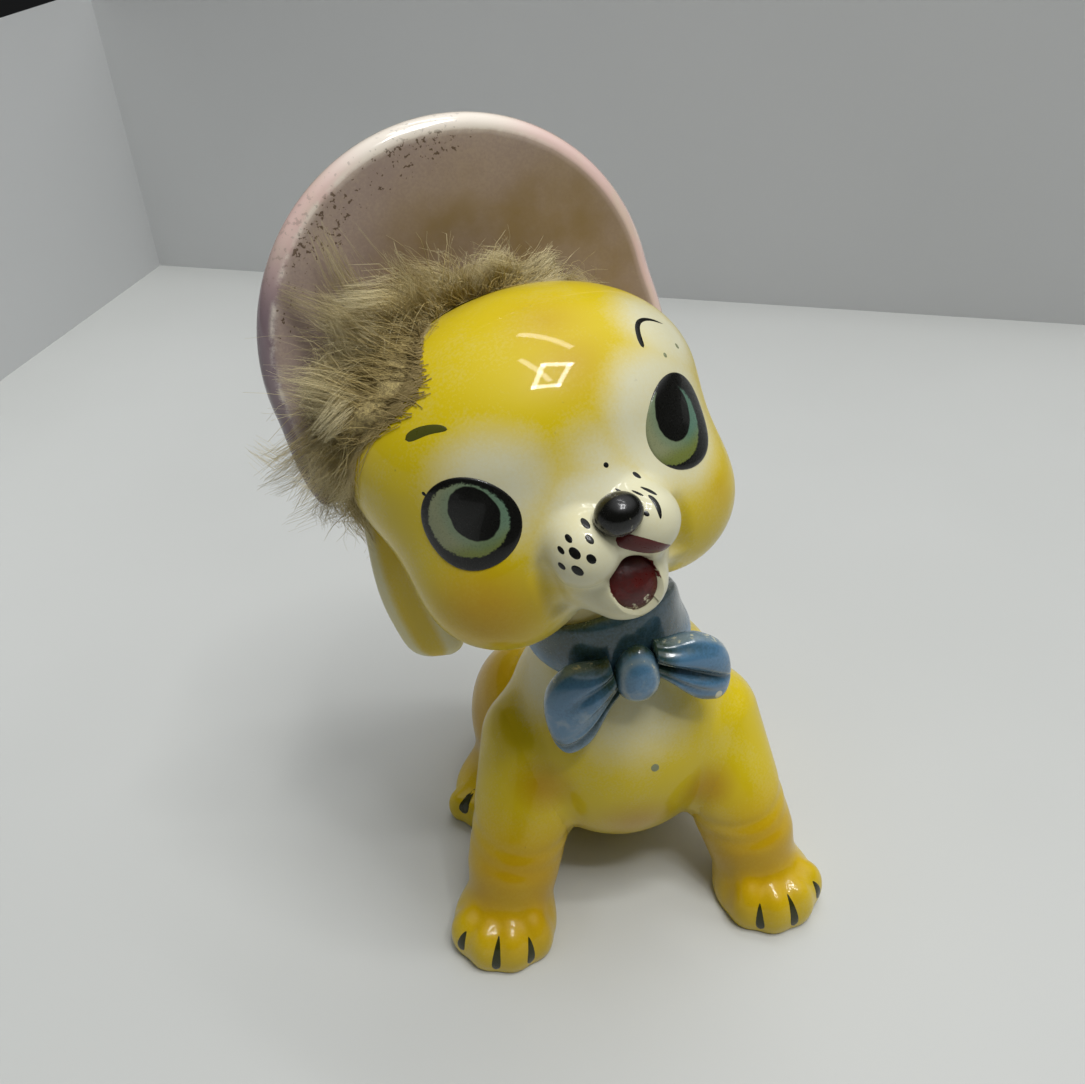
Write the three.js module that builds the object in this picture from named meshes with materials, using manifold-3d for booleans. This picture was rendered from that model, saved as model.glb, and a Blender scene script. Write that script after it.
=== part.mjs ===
// A glazed slip-cast pottery puppy in a fur-trimmed bonnet, sitting up with splayed front legs.
// Millimetres, +Z up. The dog faces -Y and its left side is +X. The origin is the middle of the flat
// seat under the rump. The pieces of the head are built in the head's own frame, upright and facing -Y,
// and a group then tilts, turns and raises that frame.
import * as THREE from 'three';
import { mergeVertices } from 'three/addons/utils/BufferGeometryUtils.js';
import Module from 'manifold-3d';

const wasm = await Module();
wasm.setup();

// Driving dimensions: general
const CLEARANCE = 0.3;
const CAST_WALL = 4;
const VENT_RADIUS = 1.9;
const VENT_BEHIND_SEAT = 5;
const AIR_HOLE_RADIUS = 1.8;

// Driving dimensions: body. Each ball is an ellipsoid given by its middle and its three radii.
const CHEST = { at: [0, -16, 30], radii: [18.5, 16.5, 22.5] };
const RUMP = { at: [0, 0, 15], radii: [18, 17, 17.5] };
const NECK = { at: [-3, -17.5, 56], radii: [10, 9.5, 14] };
const BODY_BLEND = 8;

// Driving dimensions: front legs, given for the dog's left leg and mirrored for the right one
const SHOULDER = { at: [14, -18.5, 30], radius: 9 };
const WRIST = { at: [19.8, -28, 12], radius: 7.6 };
const PAW = { at: [22.3, -32, 2], radii: [8.6, 9, 7] };
const PAW_TURN = 14;
const PAW_TOE = { radius: 3.2, height: 3.2, spread: 36, reach: 6.4 };
const TOES = 4;
const LEG_BLEND = 5;
const TOE_BLEND = 1.4;
const SOLE_ROUNDING = 0.6;
const FOOT_CROWDING = 1.3;

// Driving dimensions: hind legs, given for the dog's left leg and mirrored for the right one
const HAUNCH = { at: [14, 4, 13], radii: [10, 14, 14] };
const HIND_FOOT = { at: [22.5, -2.5, 1.8], radii: [6, 9, 5.2] };
const HIND_FOOT_TURN = 12;
const HIND_TOE = { radius: 2.3, height: 2.5, spread: 26, reach: 6.8 };

// Driving dimensions: tail
const TAIL = { root: [0, 15, 11], bend: [0, 25, 16], tip: [0, 20, 30], rootRadius: 4.6, tipRadius: 1.8 };

// Driving dimensions: head frame
const HEAD_AT = [-10.7, -20, 82];
const HEAD_YAW = 12;
const HEAD_PITCH = -24;
const HEAD_TILT = -12.7;

// Driving dimensions: head casting, in the head frame
const SKULL = { at: [0, 0.6, 6.6], radii: [24.4, 20.2, 17.6] };
const CHEEK = { at: [11, -4.5, -8], radii: [11.6, 11.4, 11] };
const MUZZLE = { at: [0, -14.5, -6], radii: [9, 7, 6.5] };
const PAD = { at: [4.1, -19.8, -6.2], radii: [4.6, 4.6, 4.5] };
const JAW = { at: [0.3, -15.6, -13.6], radii: [5.4, 6.2, 4.6] };
const MOUTH = { at: [0.2, -20.6, -12.5], radii: [3, 4.4, 3.3] };
const FACE_BLEND = 7;
const JAW_BLEND = 3;
const PAD_BLEND = 1.6;
const MOUTH_EDGE = 1;

// Driving dimensions: eyes, nose, tongue and ears, in the head frame
const EYE = { azimuth: 46.5, lift: 9.5, wide: 17.5, tall: 16.2, edge: 0.3, proud: 0.7 };
const NOSE = { at: [0.5, -23.6, -3.1], radii: [3, 2.8, 2.6] };
const TONGUE = { at: [0.2, -18.3, -12.9], radii: [4, 2.2, 3.8] };
const EAR = { length: 22.6, width: 6.4, tipWidth: 5.2, thickness: 2.1, groove: 1.1, turn: 38 };
const EAR_HANG = { top: 5, out: 21.2, back: 4, flare: 1.4, swing: 2 };

// Driving dimensions: bonnet, in the head frame
const BRIM = { at: [0, 9, 19.4], radius: 28.6, thickness: 4, dish: 3, lean: 16, reach: 124, flare: 3.4 };
const CROWN = { at: [0, 6, 7], radii: [24.6, 20, 20], hem: -11 };

// Driving dimensions: fur trim, a strip of hide and its pile in the corner of brim and forehead. The pile is
// narrow over the top, thin on the dog's left and broad over its right temple.
const FUR = { reach: 116, hideWidth: 5, hideThickness: 1.2, pileOut: 5.6, pileForward: 5, temple: 5.4 };

// Driving dimensions: neck ribbon and bow. The bow's places are measured from the middle of its knot.
const RIBBON = { at: [-2.2, -17.5, 54.3], below: 3.7, above: 2.5, thickness: 1.8, pitch: 4, tilt: 2 };
const THROAT = { rise: 8, around: -60 };
const KNOT = { around: -80, radii: [3.4, 3.2, 4.7], proud: 1.7, drop: 0.3 };
const LOOP = { depth: 3.2, pinch: 0.5 };
const LOOP_RIGHT = { from: [-3.4, 0.2, -0.6], to: [-7.8, -0.8, -7.2], across: [0.22, 0, -1], spread: 7.2 };
const LOOP_LEFT = { from: [2.6, 0.2, 2.2], to: [9.4, 1.6, -2.4], across: [0, 0, -1], spread: 5.7 };

// Field formulas: each gives a length that is negative inside a form and positive outside it
const TINY = 1e-9;
const FAR = 200;
const UP = new THREE.Vector3(0, 0, 1);
const Y_UP_TO_Z_UP = new THREE.Quaternion().setFromUnitVectors(THREE.Object3D.DEFAULT_UP, UP);
const radians = THREE.MathUtils.degToRad;

function ellipsoidField({ at, radii }) {
  return (p) => {
    const q = p.map((value, i) => (value - at[i]) / radii[i]);
    const near = Math.hypot(...q);
    const slope = Math.hypot(...q.map((value, i) => value / radii[i]));
    return (near * (near - 1)) / Math.max(slope, TINY);
  };
}

function limbField(start, end) {
  const span = end.at.map((value, i) => value - start.at[i]);
  const spanSquared = span.reduce((sum, value) => sum + value * value, 0);
  return (p) => {
    const along = p.reduce((sum, value, i) => sum + (value - start.at[i]) * span[i], 0) / spanSquared;
    const t = THREE.MathUtils.clamp(along, 0, 1);
    const away = p.map((value, i) => value - start.at[i] - t * span[i]);
    return Math.hypot(...away) - THREE.MathUtils.lerp(start.radius, end.radius, t);
  };
}

function smoothUnion(a, b, blend) {
  const h = Math.max(blend - Math.abs(a - b), 0) / blend;
  return Math.min(a, b) - (h * h * blend) / 4;
}

function blended(fields, blend) {
  return (p) => fields.map((field) => field(p)).reduce((sum, value) => smoothUnion(sum, value, blend));
}

function carved(field, hollow, edge) {
  return (p) => -smoothUnion(-field(p), hollow(p), edge);
}

// Paired forms are given for the dog's left side, where side is 1, and mirrored where side is -1
const onSide = ([x, y, z], side) => [x * side, y, z];
const sided = (field, side) => (p) => field(onSide(p, side));
const bothSides = (ball) => [1, -1].map((side) => sided(ellipsoidField(ball), side));

// Closed surfaces: rows of points joined into a skin, with a single point at each end
function skin(rows, first, last) {
  const sides = rows[0].length;
  const points = [first, ...rows.flat(), last];
  const index = [];
  const at = (row, side) => 1 + row * sides + (side % sides);
  for (let side = 0; side < sides; side += 1) {
    index.push(0, at(0, side), at(0, side + 1));
    index.push(points.length - 1, at(rows.length - 1, side + 1), at(rows.length - 1, side));
  }
  for (let row = 0; row + 1 < rows.length; row += 1) {
    for (let side = 0; side < sides; side += 1) {
      index.push(at(row, side), at(row + 1, side), at(row + 1, side + 1));
      index.push(at(row, side), at(row + 1, side + 1), at(row, side + 1));
    }
  }
  return bufferOf(points.flat(), index);
}

// A closed ring of sections, joined end to start
function ringSkin(rows) {
  const sides = rows[0].length;
  const index = [];
  const at = (row, side) => (row % rows.length) * sides + (side % sides);
  for (let row = 0; row < rows.length; row += 1) {
    for (let side = 0; side < sides; side += 1) {
      index.push(at(row, side), at(row + 1, side), at(row + 1, side + 1));
      index.push(at(row, side), at(row + 1, side + 1), at(row, side + 1));
    }
  }
  return bufferOf(rows.flat(2), index);
}

function bufferOf(positions, index) {
  const geometry = new THREE.BufferGeometry();
  geometry.setAttribute('position', new THREE.Float32BufferAttribute(positions, 3));
  geometry.setIndex(facingOut(positions, index));
  return geometry;
}

// The same triangles, all turned over if together they enclose a negative volume
function facingOut(positions, index) {
  const corner = (i) => new THREE.Vector3().fromArray(positions, 3 * index[i]);
  let volume = 0;
  for (let i = 0; i < index.length; i += 3) {
    volume += corner(i).dot(corner(i + 1).cross(corner(i + 2)));
  }
  return volume < 0 ? [...index].reverse() : index;
}

// Distance along a ray from inside a form to where its field first reaches the level
function reachOf(field, level, start, direction, limit = 60) {
  const MARCH = 60;
  const HALVINGS = 16;
  const point = (t) => start.map((value, i) => value + direction[i] * t);
  let near = 0;
  let far = limit;
  for (let step = 1; step <= MARCH; step += 1) {
    far = (limit * step) / MARCH;
    if (field(point(far)) > level) break;
    near = far;
  }
  for (let step = 0; step < HALVINGS; step += 1) {
    const middle = (near + far) / 2;
    if (field(point(middle)) > level) far = middle;
    else near = middle;
  }
  return near;
}

function surfacePoint(field, middle, direction, level = 0) {
  const reach = reachOf(field, level, middle, direction);
  return middle.map((value, i) => value + direction[i] * reach);
}

// The skin of a field seen from its middle, on polar rings that may crowd towards their pole
function roundSkin(field, middle, { level = 0, rings, sides, pole = [0, 0, 1], crowding = 1 }) {
  const toPole = new THREE.Quaternion().setFromUnitVectors(UP, new THREE.Vector3(...pole).normalize());
  const along = (polar, turn) => {
    const upright = new THREE.Vector3().setFromSphericalCoords(1, polar, turn).applyQuaternion(Y_UP_TO_Z_UP);
    return surfacePoint(field, middle, upright.applyQuaternion(toPole).toArray(), level);
  };
  const rows = [];
  for (let ring = 1; ring < rings; ring += 1) {
    const polar = Math.PI * (ring / rings) ** crowding;
    const row = [];
    for (let side = 0; side < sides; side += 1) {
      row.push(along(polar, (2 * Math.PI * side) / sides));
    }
    rows.push(row);
  }
  return skin(rows, along(0, 0), along(Math.PI, 0));
}

// The skin of a standing limb's field as level sections about an axis that climbs from low to high, and
// then straight up to the crest. The lowest section is drawn in to round the edge of the sole.
function standingSkin(field, low, high, level) {
  const LIMB_RINGS = 11;
  const TOP_RINGS = 5;
  const SIDES_ROUND = 22;
  const rise = reachOf(field, level, high, [0, 0, 1]);
  const section = (middle, inset) => {
    const row = [];
    for (let side = 0; side < SIDES_ROUND; side += 1) {
      const turn = (2 * Math.PI * side) / SIDES_ROUND;
      const direction = [Math.cos(turn), Math.sin(turn), 0];
      const reach = reachOf(field, level, middle, direction) - inset;
      row.push(middle.map((value, i) => value + direction[i] * reach));
    }
    return row;
  };
  const rows = [section(low, SOLE_ROUNDING)];
  for (let ring = 1; ring <= LIMB_RINGS; ring += 1) {
    const t = (ring / LIMB_RINGS) ** FOOT_CROWDING;
    rows.push(section(low.map((value, i) => THREE.MathUtils.lerp(value, high[i], t)), 0));
  }
  for (let ring = 1; ring < TOP_RINGS; ring += 1) {
    const height = rise * Math.sin((Math.PI * ring) / (2 * TOP_RINGS));
    rows.push(section([high[0], high[1], high[2] + height], 0));
  }
  return skin(rows, low, [high[0], high[1], high[2] + rise]);
}

// Solids: a closed geometry for cutting, and the geometry of a finished solid
const WELD = 1e-5;

function solidOf(geometry, matrix) {
  const bare = geometry.clone();
  bare.deleteAttribute('normal');
  bare.deleteAttribute('uv');
  if (matrix) bare.applyMatrix4(matrix);
  const merged = mergeVertices(bare, WELD);
  const vertProperties = new Float32Array(merged.attributes.position.array);
  const triVerts = new Uint32Array(merged.index.array);
  return new wasm.Manifold(new wasm.Mesh({ numProp: 3, vertProperties, triVerts }));
}

function cut(solid, ...tools) {
  return tools.reduce((left, tool) => left.subtract(tool), solid);
}

// What a cut leaves in front, without the slivers behind the cut
function mainBody(solid) {
  return solid.decompose().reduce((main, body) => (body.volume() > main.volume() ? body : main));
}

function geometryOf(solid) {
  const mesh = solid.getMesh();
  const geometry = bufferOf(Array.from(mesh.vertProperties), Array.from(mesh.triVerts));
  geometry.computeVertexNormals();
  return geometry;
}

function blockOf(width, depth, height, x, y, z) {
  return solidOf(new THREE.BoxGeometry(width, depth, height).translate(x, y, z));
}

// A straight round bore between two points
function boreOf(from, to, radius) {
  const start = new THREE.Vector3(...from);
  const span = new THREE.Vector3(...to).sub(start);
  const BORE_SIDES = 20;
  const rod = new THREE.CylinderGeometry(radius, radius, span.length(), BORE_SIDES);
  const heading = span.clone().normalize();
  rod.applyQuaternion(new THREE.Quaternion().setFromUnitVectors(THREE.Object3D.DEFAULT_UP, heading));
  const middle = start.addScaledVector(span, 0.5);
  return solidOf(rod.translate(middle.x, middle.y, middle.z));
}

// Head frame
const headGroup = new THREE.Group();
headGroup.position.set(...HEAD_AT);
headGroup.rotation.set(radians(HEAD_PITCH), radians(HEAD_TILT), radians(HEAD_YAW), 'ZXY');
headGroup.updateMatrix();
const headToBody = headGroup.matrix;
const bodyToHead = headToBody.clone().invert();

// Head casting
const HEAD_MIDDLE = [0, -2, -2];
const HOLLOW_GRID = { rings: 9, sides: 12 };
const headBalls = [SKULL, MUZZLE].map(ellipsoidField).concat(bothSides(CHEEK));
const roundHead = blended(headBalls, FACE_BLEND);
const jawedHead = blended([roundHead, ellipsoidField(JAW)], JAW_BLEND);
const paddedHead = blended([jawedHead, ...bothSides(PAD)], PAD_BLEND);
const headField = carved(paddedHead, ellipsoidField(MOUTH), MOUTH_EDGE);
const HEAD_GRID = { rings: 26, sides: 34, crowding: 1.45, pole: MOUTH.at };
const headOuter = solidOf(roundSkin(headField, HEAD_MIDDLE, HEAD_GRID));
const headSeat = solidOf(roundSkin(headField, HEAD_MIDDLE, { ...HEAD_GRID, level: CLEARANCE }));
const headHollow = solidOf(roundSkin(roundHead, SKULL.at, { level: -CAST_WALL, ...HOLLOW_GRID }));

// Body casting
const BODY_MIDDLE = [0, -10, 28];
const bodyField = blended([CHEST, RUMP, NECK].map(ellipsoidField), BODY_BLEND);
const neckwards = NECK.at.map((value, i) => value - BODY_MIDDLE[i]);
const BODY_GRID = { rings: 20, sides: 28, crowding: 1.3, pole: neckwards };
const bodyOuter = solidOf(roundSkin(bodyField, BODY_MIDDLE, BODY_GRID));
const bodySeat = solidOf(roundSkin(bodyField, BODY_MIDDLE, { ...BODY_GRID, level: CLEARANCE }));
const bodyHollow = solidOf(roundSkin(bodyField, BODY_MIDDLE, { ...HOLLOW_GRID, level: -CAST_WALL }));
const underFloor = blockOf(FAR, FAR, FAR, 0, 0, -FAR / 2);
const hollowFloor = blockOf(FAR, FAR, FAR, 0, 0, CAST_WALL - FAR / 2);
const skullInBody = new THREE.Vector3(...SKULL.at).applyMatrix4(headToBody).toArray();
const airHole = boreOf(BODY_MIDDLE, skullInBody, AIR_HOLE_RADIUS);
const airHoleInHead = boreOf(
  new THREE.Vector3(...BODY_MIDDLE).applyMatrix4(bodyToHead).toArray(),
  SKULL.at,
  AIR_HOLE_RADIUS,
);
const vent = boreOf([0, VENT_BEHIND_SEAT, -CAST_WALL], [0, VENT_BEHIND_SEAT, 2 * CAST_WALL], VENT_RADIUS);
const headSeatInBody = headSeat.transform(headToBody.elements);
const torso = cut(bodyOuter, cut(bodyHollow, hollowFloor), airHole, vent, underFloor, headSeatInBody);
const head = cut(headOuter, headHollow, airHoleInHead);

// Legs: a limb or haunch runs smoothly into a foot whose toes stand out at the front
function footField(foot, turnDegrees, toe, side) {
  const turn = radians(turnDegrees);
  const local = (p) => {
    const x = p[0] - foot.at[0];
    const y = p[1] - foot.at[1];
    return [x * Math.cos(turn) + y * Math.sin(turn), y * Math.cos(turn) - x * Math.sin(turn), p[2]];
  };
  const sole = ellipsoidField({ at: [0, 0, foot.at[2]], radii: foot.radii });
  const toes = Array.from({ length: TOES }, (_, step) => {
    const angle = radians((step - (TOES - 1) / 2) * toe.spread);
    const at = [Math.sin(angle) * toe.reach, -Math.cos(angle) * toe.reach, toe.height];
    return ellipsoidField({ at, radii: [toe.radius, toe.radius, toe.height + toe.radius / 2] });
  });
  const whole = blended([sole, ...toes], TOE_BLEND);
  return sided((p) => whole(local(p)), side);
}

function frontLegSkin(side, level) {
  const limb = sided(limbField(SHOULDER, WRIST), side);
  const field = blended([limb, footField(PAW, PAW_TURN, PAW_TOE, side)], LEG_BLEND);
  const low = onSide([PAW.at[0], PAW.at[1], 0], side);
  return solidOf(standingSkin(field, low, onSide(SHOULDER.at, side), level));
}

function hindLegSkin(side, level) {
  const haunch = sided(ellipsoidField(HAUNCH), side);
  const field = blended([haunch, footField(HIND_FOOT, HIND_FOOT_TURN, HIND_TOE, side)], LEG_BLEND);
  const low = onSide([(HAUNCH.at[0] + HIND_FOOT.at[0]) / 2, (HAUNCH.at[1] + HIND_FOOT.at[1]) / 2, 0], side);
  return solidOf(standingSkin(field, low, onSide(HAUNCH.at, side), level));
}

const frontLeg = (side) => cut(frontLegSkin(side, 0), bodySeat);
const hindLeg = (side) => cut(hindLegSkin(side, 0), bodySeat, frontLegSkin(side, CLEARANCE));

// A swept skin: sections set across a path, each given by its own points in the section's plane
function sweptRows(path, section, { rings, sides }) {
  const rows = [];
  for (let ring = 0; ring <= rings; ring += 1) {
    const t = ring / rings;
    const { middle, across, over } = path(t);
    const row = [];
    for (let side = 0; side < sides; side += 1) {
      const [u, v] = section(t, (2 * Math.PI * side) / sides);
      row.push(middle.map((value, i) => value + across[i] * u + over[i] * v));
    }
    rows.push(row);
  }
  return rows;
}

function sweptSkin(path, section, count) {
  return skin(sweptRows(path, section, count), path(0).middle, path(1).middle);
}

// Tail: a tapering rod on a curve that leaves the rump and turns up
function tailSkin() {
  const stations = [TAIL.root, TAIL.bend, TAIL.tip].map((p) => new THREE.Vector3(...p));
  const curve = new THREE.QuadraticBezierCurve3(...stations);
  const path = (t) => {
    const forward = curve.getTangent(t);
    const across = [1, 0, 0];
    const over = new THREE.Vector3(...across).cross(forward).toArray();
    return { middle: curve.getPoint(t).toArray(), across, over };
  };
  const END_ROUNDING = 8;
  const section = (t, turn) => {
    const end = Math.sqrt(1 - t ** END_ROUNDING);
    const radius = THREE.MathUtils.lerp(TAIL.rootRadius, TAIL.tipRadius, t) * end;
    return [radius * Math.cos(turn), radius * Math.sin(turn)];
  };
  return solidOf(sweptSkin(path, section, { rings: 10, sides: 12 }));
}

const tail = cut(tailSkin(), bodySeat);

// Ears: a flap that hangs beside the cheek, drawn in at the top, rounded at the tip and grooved outside
function earSkin(side) {
  const turn = radians(EAR.turn);
  const across = [side * Math.sin(turn), Math.cos(turn), 0];
  const over = [side * Math.cos(turn), -Math.sin(turn), 0];
  const path = (t) => {
    const out = EAR_HANG.out + EAR_HANG.flare * Math.sin(Math.PI * t);
    const middle = [side * out, EAR_HANG.back - EAR_HANG.swing * t, EAR_HANG.top - EAR.length * t];
    return { middle, across, over };
  };
  const DRAWN_IN = 0.65;
  const TIP_START = 0.6;
  const section = (t, angle) => {
    const swell = THREE.MathUtils.lerp(DRAWN_IN, 1, THREE.MathUtils.smoothstep(t, 0, TIP_START));
    const tip = Math.sqrt(1 - Math.max(0, (t - TIP_START) / (1 - TIP_START)) ** 3);
    const u = THREE.MathUtils.lerp(EAR.width, EAR.tipWidth, t) * swell * tip * Math.cos(angle);
    const groove = EAR.groove * tip * Math.max(0, Math.sin(angle)) ** 2;
    return [u, EAR.thickness * tip * Math.sin(angle) - groove];
  };
  return solidOf(sweptSkin(path, section, { rings: 12, sides: 16 }));
}

// Face pieces: an eye is a lens laid on the face, proud in its middle; the nose and tongue are balls
function eyeSkin(side) {
  const EYE_RINGS = 4;
  const EYE_SIDES = 16;
  const at = (away, turn, height) => {
    const azimuth = side * radians(EYE.azimuth + EYE.wide * away * Math.cos(turn));
    const lift = radians(EYE.lift + EYE.tall * away * Math.sin(turn));
    const gaze = [Math.sin(azimuth) * Math.cos(lift), -Math.cos(azimuth) * Math.cos(lift), Math.sin(lift)];
    return surfacePoint(headField, HEAD_MIDDLE, gaze, CLEARANCE + height);
  };
  const ring = (away, height) => {
    const row = [];
    for (let step = 0; step < EYE_SIDES; step += 1) {
      row.push(at(away, (2 * Math.PI * step) / EYE_SIDES, height));
    }
    return row;
  };
  const rows = [];
  for (let step = 1; step <= EYE_RINGS; step += 1) {
    const away = step / EYE_RINGS;
    rows.push(ring(away, EYE.edge + EYE.proud * Math.sqrt(1 - away ** 2)));
  }
  for (let step = EYE_RINGS; step >= 1; step -= 1) {
    rows.push(ring(step / EYE_RINGS, 0));
  }
  return solidOf(skin(rows, at(0, 0, EYE.edge + EYE.proud), at(0, 0, 0)));
}

const ballSkin = (ball) => solidOf(roundSkin(ellipsoidField(ball), ball.at, { rings: 7, sides: 12 }));

// Bonnet brim: a dished sheet with a round rim, swept from one cheek over the head to the other
const BRIM_ROOT = 3;
const brimToHead = new THREE.Matrix4().makeRotationX(radians(BRIM.lean)).setPosition(...BRIM.at);
const brimFrontAt = (radius) => BRIM.dish * (1 - (radius / BRIM.radius) ** 2);

function brimReach(degrees) {
  const FLARE_FROM = 90;
  const END_ROUNDING = 8;
  const flare = BRIM.flare * THREE.MathUtils.smoothstep(Math.abs(degrees), FLARE_FROM, BRIM.reach);
  const last = Math.max(0, (Math.abs(degrees) - BRIM.reach + END_ROUNDING) / END_ROUNDING);
  return THREE.MathUtils.lerp(BRIM_ROOT, BRIM.radius + flare, Math.sqrt(Math.max(0, 1 - last ** 2)));
}

function brimSkin(grow) {
  const FACE_STEPS = 3;
  const RIM_STEPS = 4;
  const ARC_STEPS = 36;
  const half = BRIM.thickness / 2 + grow;
  const rows = [];
  for (let step = 0; step <= ARC_STEPS; step += 1) {
    const degrees = THREE.MathUtils.lerp(-BRIM.reach, BRIM.reach, step / ARC_STEPS);
    const edge = Math.max(brimReach(degrees) - half, BRIM_ROOT) + grow;
    const outline = [];
    for (let i = 0; i <= FACE_STEPS; i += 1) {
      const radius = THREE.MathUtils.lerp(BRIM_ROOT, edge, i / FACE_STEPS);
      outline.push([radius, brimFrontAt(radius) - grow]);
    }
    for (let i = 1; i < RIM_STEPS; i += 1) {
      const round = (Math.PI * i) / RIM_STEPS;
      outline.push([edge + half * Math.sin(round), brimFrontAt(edge) - grow + half * (1 - Math.cos(round))]);
    }
    for (let i = FACE_STEPS; i >= 0; i -= 1) {
      const radius = THREE.MathUtils.lerp(BRIM_ROOT, edge, i / FACE_STEPS);
      outline.push([radius, brimFrontAt(radius) - grow + 2 * half]);
    }
    const angle = radians(degrees);
    rows.push(outline.map(([radius, back]) => [radius * Math.sin(angle), back, radius * Math.cos(angle)]));
  }
  const middleOf = (row) => [0, 1, 2].map((i) => row.reduce((sum, point) => sum + point[i], 0) / row.length);
  return solidOf(skin(rows, middleOf(rows[0]), middleOf(rows[ARC_STEPS])), brimToHead);
}

const brimSeat = brimSkin(CLEARANCE);
const bonnetBrim = cut(brimSkin(0), headSeat);

// Bonnet crown: a dome shell over the back of the head, from the brim down to its hem
function crownSkin() {
  const dome = solidOf(roundSkin(ellipsoidField(CROWN), CROWN.at, { rings: 11, sides: 20 }));
  const aheadBlock = new THREE.BoxGeometry(FAR, FAR, FAR).translate(0, BRIM.dish - FAR / 2, 0);
  const ahead = solidOf(aheadBlock, brimToHead);
  const belowHem = blockOf(FAR, FAR, FAR, 0, 0, CROWN.hem - FAR / 2);
  return cut(dome, ahead, belowHem, headSeat, brimSeat);
}

// Fur trim: the corner where the brim's front face meets the forehead, followed round the brim
function brimPoint(degrees, radius, forward) {
  const angle = radians(degrees);
  const back = brimFrontAt(radius) - forward;
  const point = new THREE.Vector3(radius * Math.sin(angle), back, radius * Math.cos(angle));
  return point.applyMatrix4(brimToHead).toArray();
}

function headRadius(degrees, forward) {
  const START = [0, 0, 0];
  const acrossFace = (p) => headField(brimPoint(degrees, p[0], forward));
  return reachOf(acrossFace, CLEARANCE, START, [1, 0, 0], BRIM.radius);
}

// A path round the brim, at a height over the head and a distance in front of the brim
function furPath(placing) {
  return (t) => {
    const degrees = THREE.MathUtils.lerp(-FUR.reach, FUR.reach, t);
    const { out, forward } = placing(degrees);
    const angle = radians(degrees);
    const turned = (x, y, z) => new THREE.Vector3(x, y, z).transformDirection(brimToHead).toArray();
    return {
      middle: brimPoint(degrees, headRadius(degrees, forward) + out, forward),
      across: turned(Math.sin(angle), 0, Math.cos(angle)),
      over: turned(0, -1, 0),
    };
  };
}

const endRounding = (t, sharpness) => Math.sqrt(1 - Math.abs(2 * t - 1) ** sharpness);

function furHideSkin(grow) {
  const place = { out: FUR.hideWidth / 2 + CLEARANCE, forward: FUR.hideThickness / 2 + CLEARANCE };
  const path = furPath(() => place);
  const QUARTER = Math.PI / 4;
  const section = (t, angle) => [
    (FUR.hideWidth / 2 + grow) * Math.sign(Math.cos(angle + QUARTER)),
    (FUR.hideThickness / 2 + grow) * Math.sign(Math.sin(angle + QUARTER)),
  ];
  return solidOf(sweptSkin(path, section, { rings: 20, sides: 4 }));
}

// Half sizes of the pile's section, outwards and forwards
function pileSize(degrees) {
  const THIN = 0.5;
  const THINS_FROM = -10;
  const THINS_TO = 45;
  const TEMPLE_FROM = -76;
  const TEMPLE_TO = -34;
  const LOW_FROM = -114;
  const LOW_TO = -98;
  const share = THREE.MathUtils.lerp(1, THIN, THREE.MathUtils.smoothstep(degrees, THINS_FROM, THINS_TO));
  const temple = 1 - THREE.MathUtils.smoothstep(degrees, TEMPLE_FROM, TEMPLE_TO);
  const kept = THREE.MathUtils.lerp(THIN, 1, THREE.MathUtils.smoothstep(degrees, LOW_FROM, LOW_TO));
  return { out: FUR.pileOut * share, forward: FUR.pileForward * share + FUR.temple * temple * kept };
}

function furPileSkin(grow) {
  const PILE_ENDS = 12;
  const OVER_SKIN = 0.7;
  const path = furPath((degrees) => {
    const size = pileSize(degrees);
    return { out: size.out * OVER_SKIN, forward: size.forward + FUR.hideThickness };
  });
  const section = (t, angle) => {
    const size = pileSize(THREE.MathUtils.lerp(-FUR.reach, FUR.reach, t));
    const end = endRounding(t, PILE_ENDS);
    return [(size.out + grow) * end * Math.cos(angle), (size.forward + grow) * end * Math.sin(angle)];
  };
  return solidOf(sweptSkin(path, section, { rings: 26, sides: 8 }));
}

const furHide = cut(furHideSkin(0), headSeat, brimSeat);
const furPileSeat = furPileSkin(CLEARANCE);
const furPile = cut(furPileSkin(0), headSeat, brimSeat, furHideSkin(CLEARANCE));

// Each ear flap ends at the head, the brim and the fur.
const earPiece = (side) => mainBody(cut(earSkin(side), headSeat, brimSeat, furPileSeat));

// Neck ribbon: a band that hugs the neck and rises at the throat
const ribbonTurn = new THREE.Euler(radians(RIBBON.pitch), radians(RIBBON.tilt), 0, 'ZXY');
const inRibbon = (x, y, z) => new THREE.Vector3(x, y, z).applyEuler(ribbonTurn).toArray();
const moved = (start, direction, distance) => start.map((value, i) => value + direction[i] * distance);

function ribbonPoint(degrees, height, proud) {
  const angle = radians(degrees);
  const out = inRibbon(Math.cos(angle), Math.sin(angle), 0);
  const start = moved(RIBBON.at, inRibbon(0, 0, 1), height);
  return moved(surfacePoint(bodyField, start, out, CLEARANCE), out, proud);
}

function ribbonSkin(grow) {
  const RIBBON_STEPS = 26;
  const RIBBON_SIDES = 8;
  const SQUARENESS = 0.6;
  const squared = (value) => Math.sign(value) * Math.abs(value) ** SQUARENESS;
  const half = RIBBON.thickness / 2;
  const rows = [];
  for (let step = 0; step < RIBBON_STEPS; step += 1) {
    const degrees = (360 * step) / RIBBON_STEPS;
    const atThroat = Math.max(0, Math.cos(radians(degrees - THROAT.around)));
    const above = RIBBON.above + THROAT.rise * atThroat + grow;
    const row = [];
    for (let side = 0; side < RIBBON_SIDES; side += 1) {
      const angle = (2 * Math.PI * side) / RIBBON_SIDES;
      const upward = squared(Math.sin(angle));
      const height = upward * (upward > 0 ? above : RIBBON.below + grow);
      row.push(ribbonPoint(degrees, height, half + (half + grow) * squared(Math.cos(angle))));
    }
    rows.push(row);
  }
  return solidOf(ringSkin(rows));
}

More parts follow.
